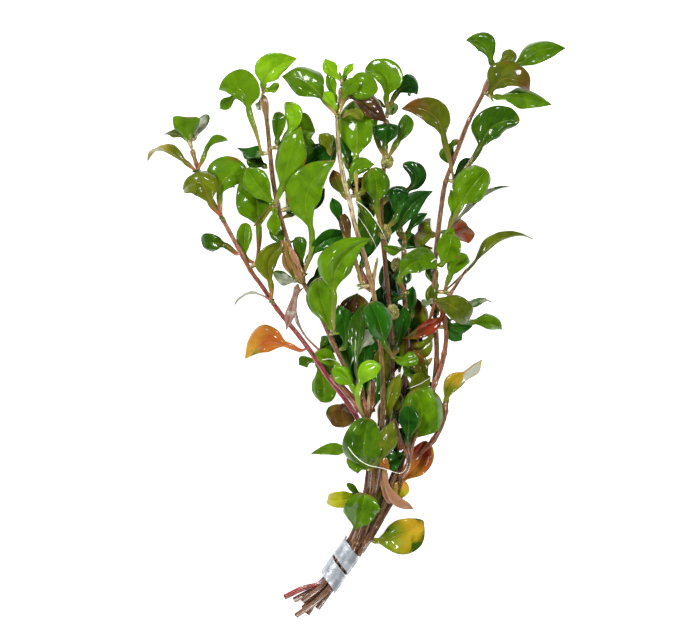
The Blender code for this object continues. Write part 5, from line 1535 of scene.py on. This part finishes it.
def lead_material(settings):
    """Soft grey lead: rubbed bright in patches, with fine scratches."""
    look = Shading("lead", metallic=0.35)
    patches = look.noise(260, 3, distortion=0.5)
    colour = look.mix(look.band(patches, 0.35, 0.65), settings.dull, settings.clean)
    drawn_out = look.add("ShaderNodeMapping", {
        "Vector": look.place, "Rotation": (0, 0, 0.6), "Scale": (1, 9, 1)
    })
    scratches = look.noise(420, 3, vector=drawn_out.outputs[0])
    colour = look.mix(look.band(scratches, 0.6, 0.72, 0, 0.5), colour, (0.62, 0.65, 0.68))
    relief = look.times_plus(scratches, 0.3, look.noise(900, 4))
    return look.made(colour, look.band(patches, 0.3, 0.7, 0.5, 0.34), relief, 0.14 * MM)


class CUTTINGS_OT_lead_strip(bpy.types.Operator):
    """Wind the dented lead strip round the stems"""

    bl_idname = "cuttings.lead_strip"
    bl_label = "Lead Strip"

    def execute(self, context):
        settings = context.scene.cuttings.strip
        solid = merged("lead_strip")
        bmesh.ops.join_triangles(
            solid, faces=solid.faces, angle_face_threshold=radians(20), angle_shape_threshold=radians(80)
        )
        mesh = bpy.data.meshes.new("lead_strip")
        solid.to_mesh(mesh)
        solid.free()
        mesh.materials.append(lead_material(settings))
        piece = bpy.data.objects.new("wound_lead_strip", mesh)
        context.scene.collection.objects.link(piece)
        bevel = piece.modifiers.new("worn edges", "BEVEL")
        bevel.width = settings.edge_wear
        bevel.segments = 2
        fine = piece.modifiers.new("fine", "SUBSURF")
        fine.levels = fine.render_levels = 3
        texture = bpy.data.textures.new("dents", "CLOUDS")
        texture.noise_scale = settings.dent_size
        dents = piece.modifiers.new("dents", "DISPLACE")
        dents.texture = texture
        dents.strength = settings.dent_depth * 2
        dents.mid_level = 0.5
        mesh = bpy.data.meshes.new_from_object(piece.evaluated_get(context.evaluated_depsgraph_get()))
        bpy.data.objects.remove(piece)
        for vert in mesh.vertices:
            vert.co.z = max(vert.co.z, 0)
        mesh.shade_smooth()
        piece_of("wound_lead_strip", mesh, SLOTS["lead_strip"], "lead_strip")
        return {"FINISHED"}


class CUTTINGS_OT_stage(bpy.types.Operator):
    """Lay the pale floor, hang the lamps and set the camera above the bunch"""

    bl_idname = "cuttings.stage"
    bl_label = "Stage"

    def execute(self, context):
        settings = context.scene.cuttings.stage
        scene = context.scene
        scene.view_settings.view_transform = "Standard"
        # The floor glows with light of its own, as a light table does, which hides the shadows on it and
        # lights the bunch a little from below
        look = Shading("pale floor", roughness=0.9, specular_ior_level=0.1, emission_strength=settings.glow)
        look.put(look.shader.inputs["Emission Color"], tuple(settings.floor))
        corners = [(x * FLOOR_REACH, y * FLOOR_REACH, 0) for x, y in ((-1, -1), (1, -1), (1, 1), (-1, 1))]
        floor = bpy.data.meshes.new("floor")
        floor.from_pydata(corners, [], [(0, 1, 2, 3)])
        floor.materials.append(look.made(tuple(settings.floor)))
        ground = bpy.data.objects.new("floor", floor)
        scene.collection.objects.link(ground)

        world = bpy.data.worlds.new("studio")
        world.use_nodes = True
        sky = world.node_tree.nodes["Background"].inputs
        sky["Color"].default_value = (1, 1, 1, 1)
        sky["Strength"].default_value = settings.sky
        scene.world = world

        target = Vector((*PHOTO_MIDDLE, BUNCH_MIDDLE_HEIGHT))
        for name, place, size in LAMPS:
            lamp = bpy.data.lights.new(name, "AREA")
            lamp.shape = "SQUARE"
            lamp.size = size
            lamp.energy = settings.lamps * pi * size * size
            stand = bpy.data.objects.new(name, lamp)
            stand.location = target + Vector(place)
            stand.rotation_euler = (target - stand.location).to_track_quat("-Z", "Y").to_euler()
            scene.collection.objects.link(stand)

        lens = bpy.data.cameras.new("camera")
        lens.lens = LENS
        lens.sensor_width = SENSOR
        lens.clip_end = 10
        camera = bpy.data.objects.new("camera", lens)
        camera.location = target + Vector((0, 0, PHOTO_WIDTH * LENS / SENSOR))
        scene.collection.objects.link(camera)
        scene.camera = camera
        return {"FINISHED"}


STEPS = (
    CUTTINGS_OT_stems,
    CUTTINGS_OT_side_shoots,
    CUTTINGS_OT_leaves,
    CUTTINGS_OT_flower_heads,
    CUTTINGS_OT_roots,
    CUTTINGS_OT_lead_strip,
    CUTTINGS_OT_stage,
)


class VIEW3D_PT_cuttings(bpy.types.Panel):
    """The steps and their settings"""

    bl_idname = "VIEW3D_PT_cuttings"
    bl_label = "Cuttings"
    bl_space_type = "VIEW_3D"
    bl_region_type = "UI"
    bl_category = "Cuttings"

    def draw(self, context):
        for step in STEPS:
            self.layout.operator(step.bl_idname)
        for group in ("leaves", "stems", "strip", "stage"):
            settings = getattr(context.scene.cuttings, group)
            box = self.layout.box()
            for name in settings.__annotations__:
                box.prop(settings, name)


CLASSES = (
    LeafSettings, StemSettings, StripSettings, StageSettings, CuttingsSettings, *STEPS, VIEW3D_PT_cuttings
)


def register():
    for kind in CLASSES:
        bpy.utils.register_class(kind)
    bpy.types.Scene.cuttings = PointerProperty(type=CuttingsSettings)


def unregister():
    del bpy.types.Scene.cuttings
    for kind in reversed(CLASSES):
        bpy.utils.unregister_class(kind)


def main():
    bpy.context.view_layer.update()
    register()
    for step in STEPS:
        group, name = step.bl_idname.split(".")
        getattr(getattr(bpy.ops, group), name)()


if __name__ == "__main__":
    main()
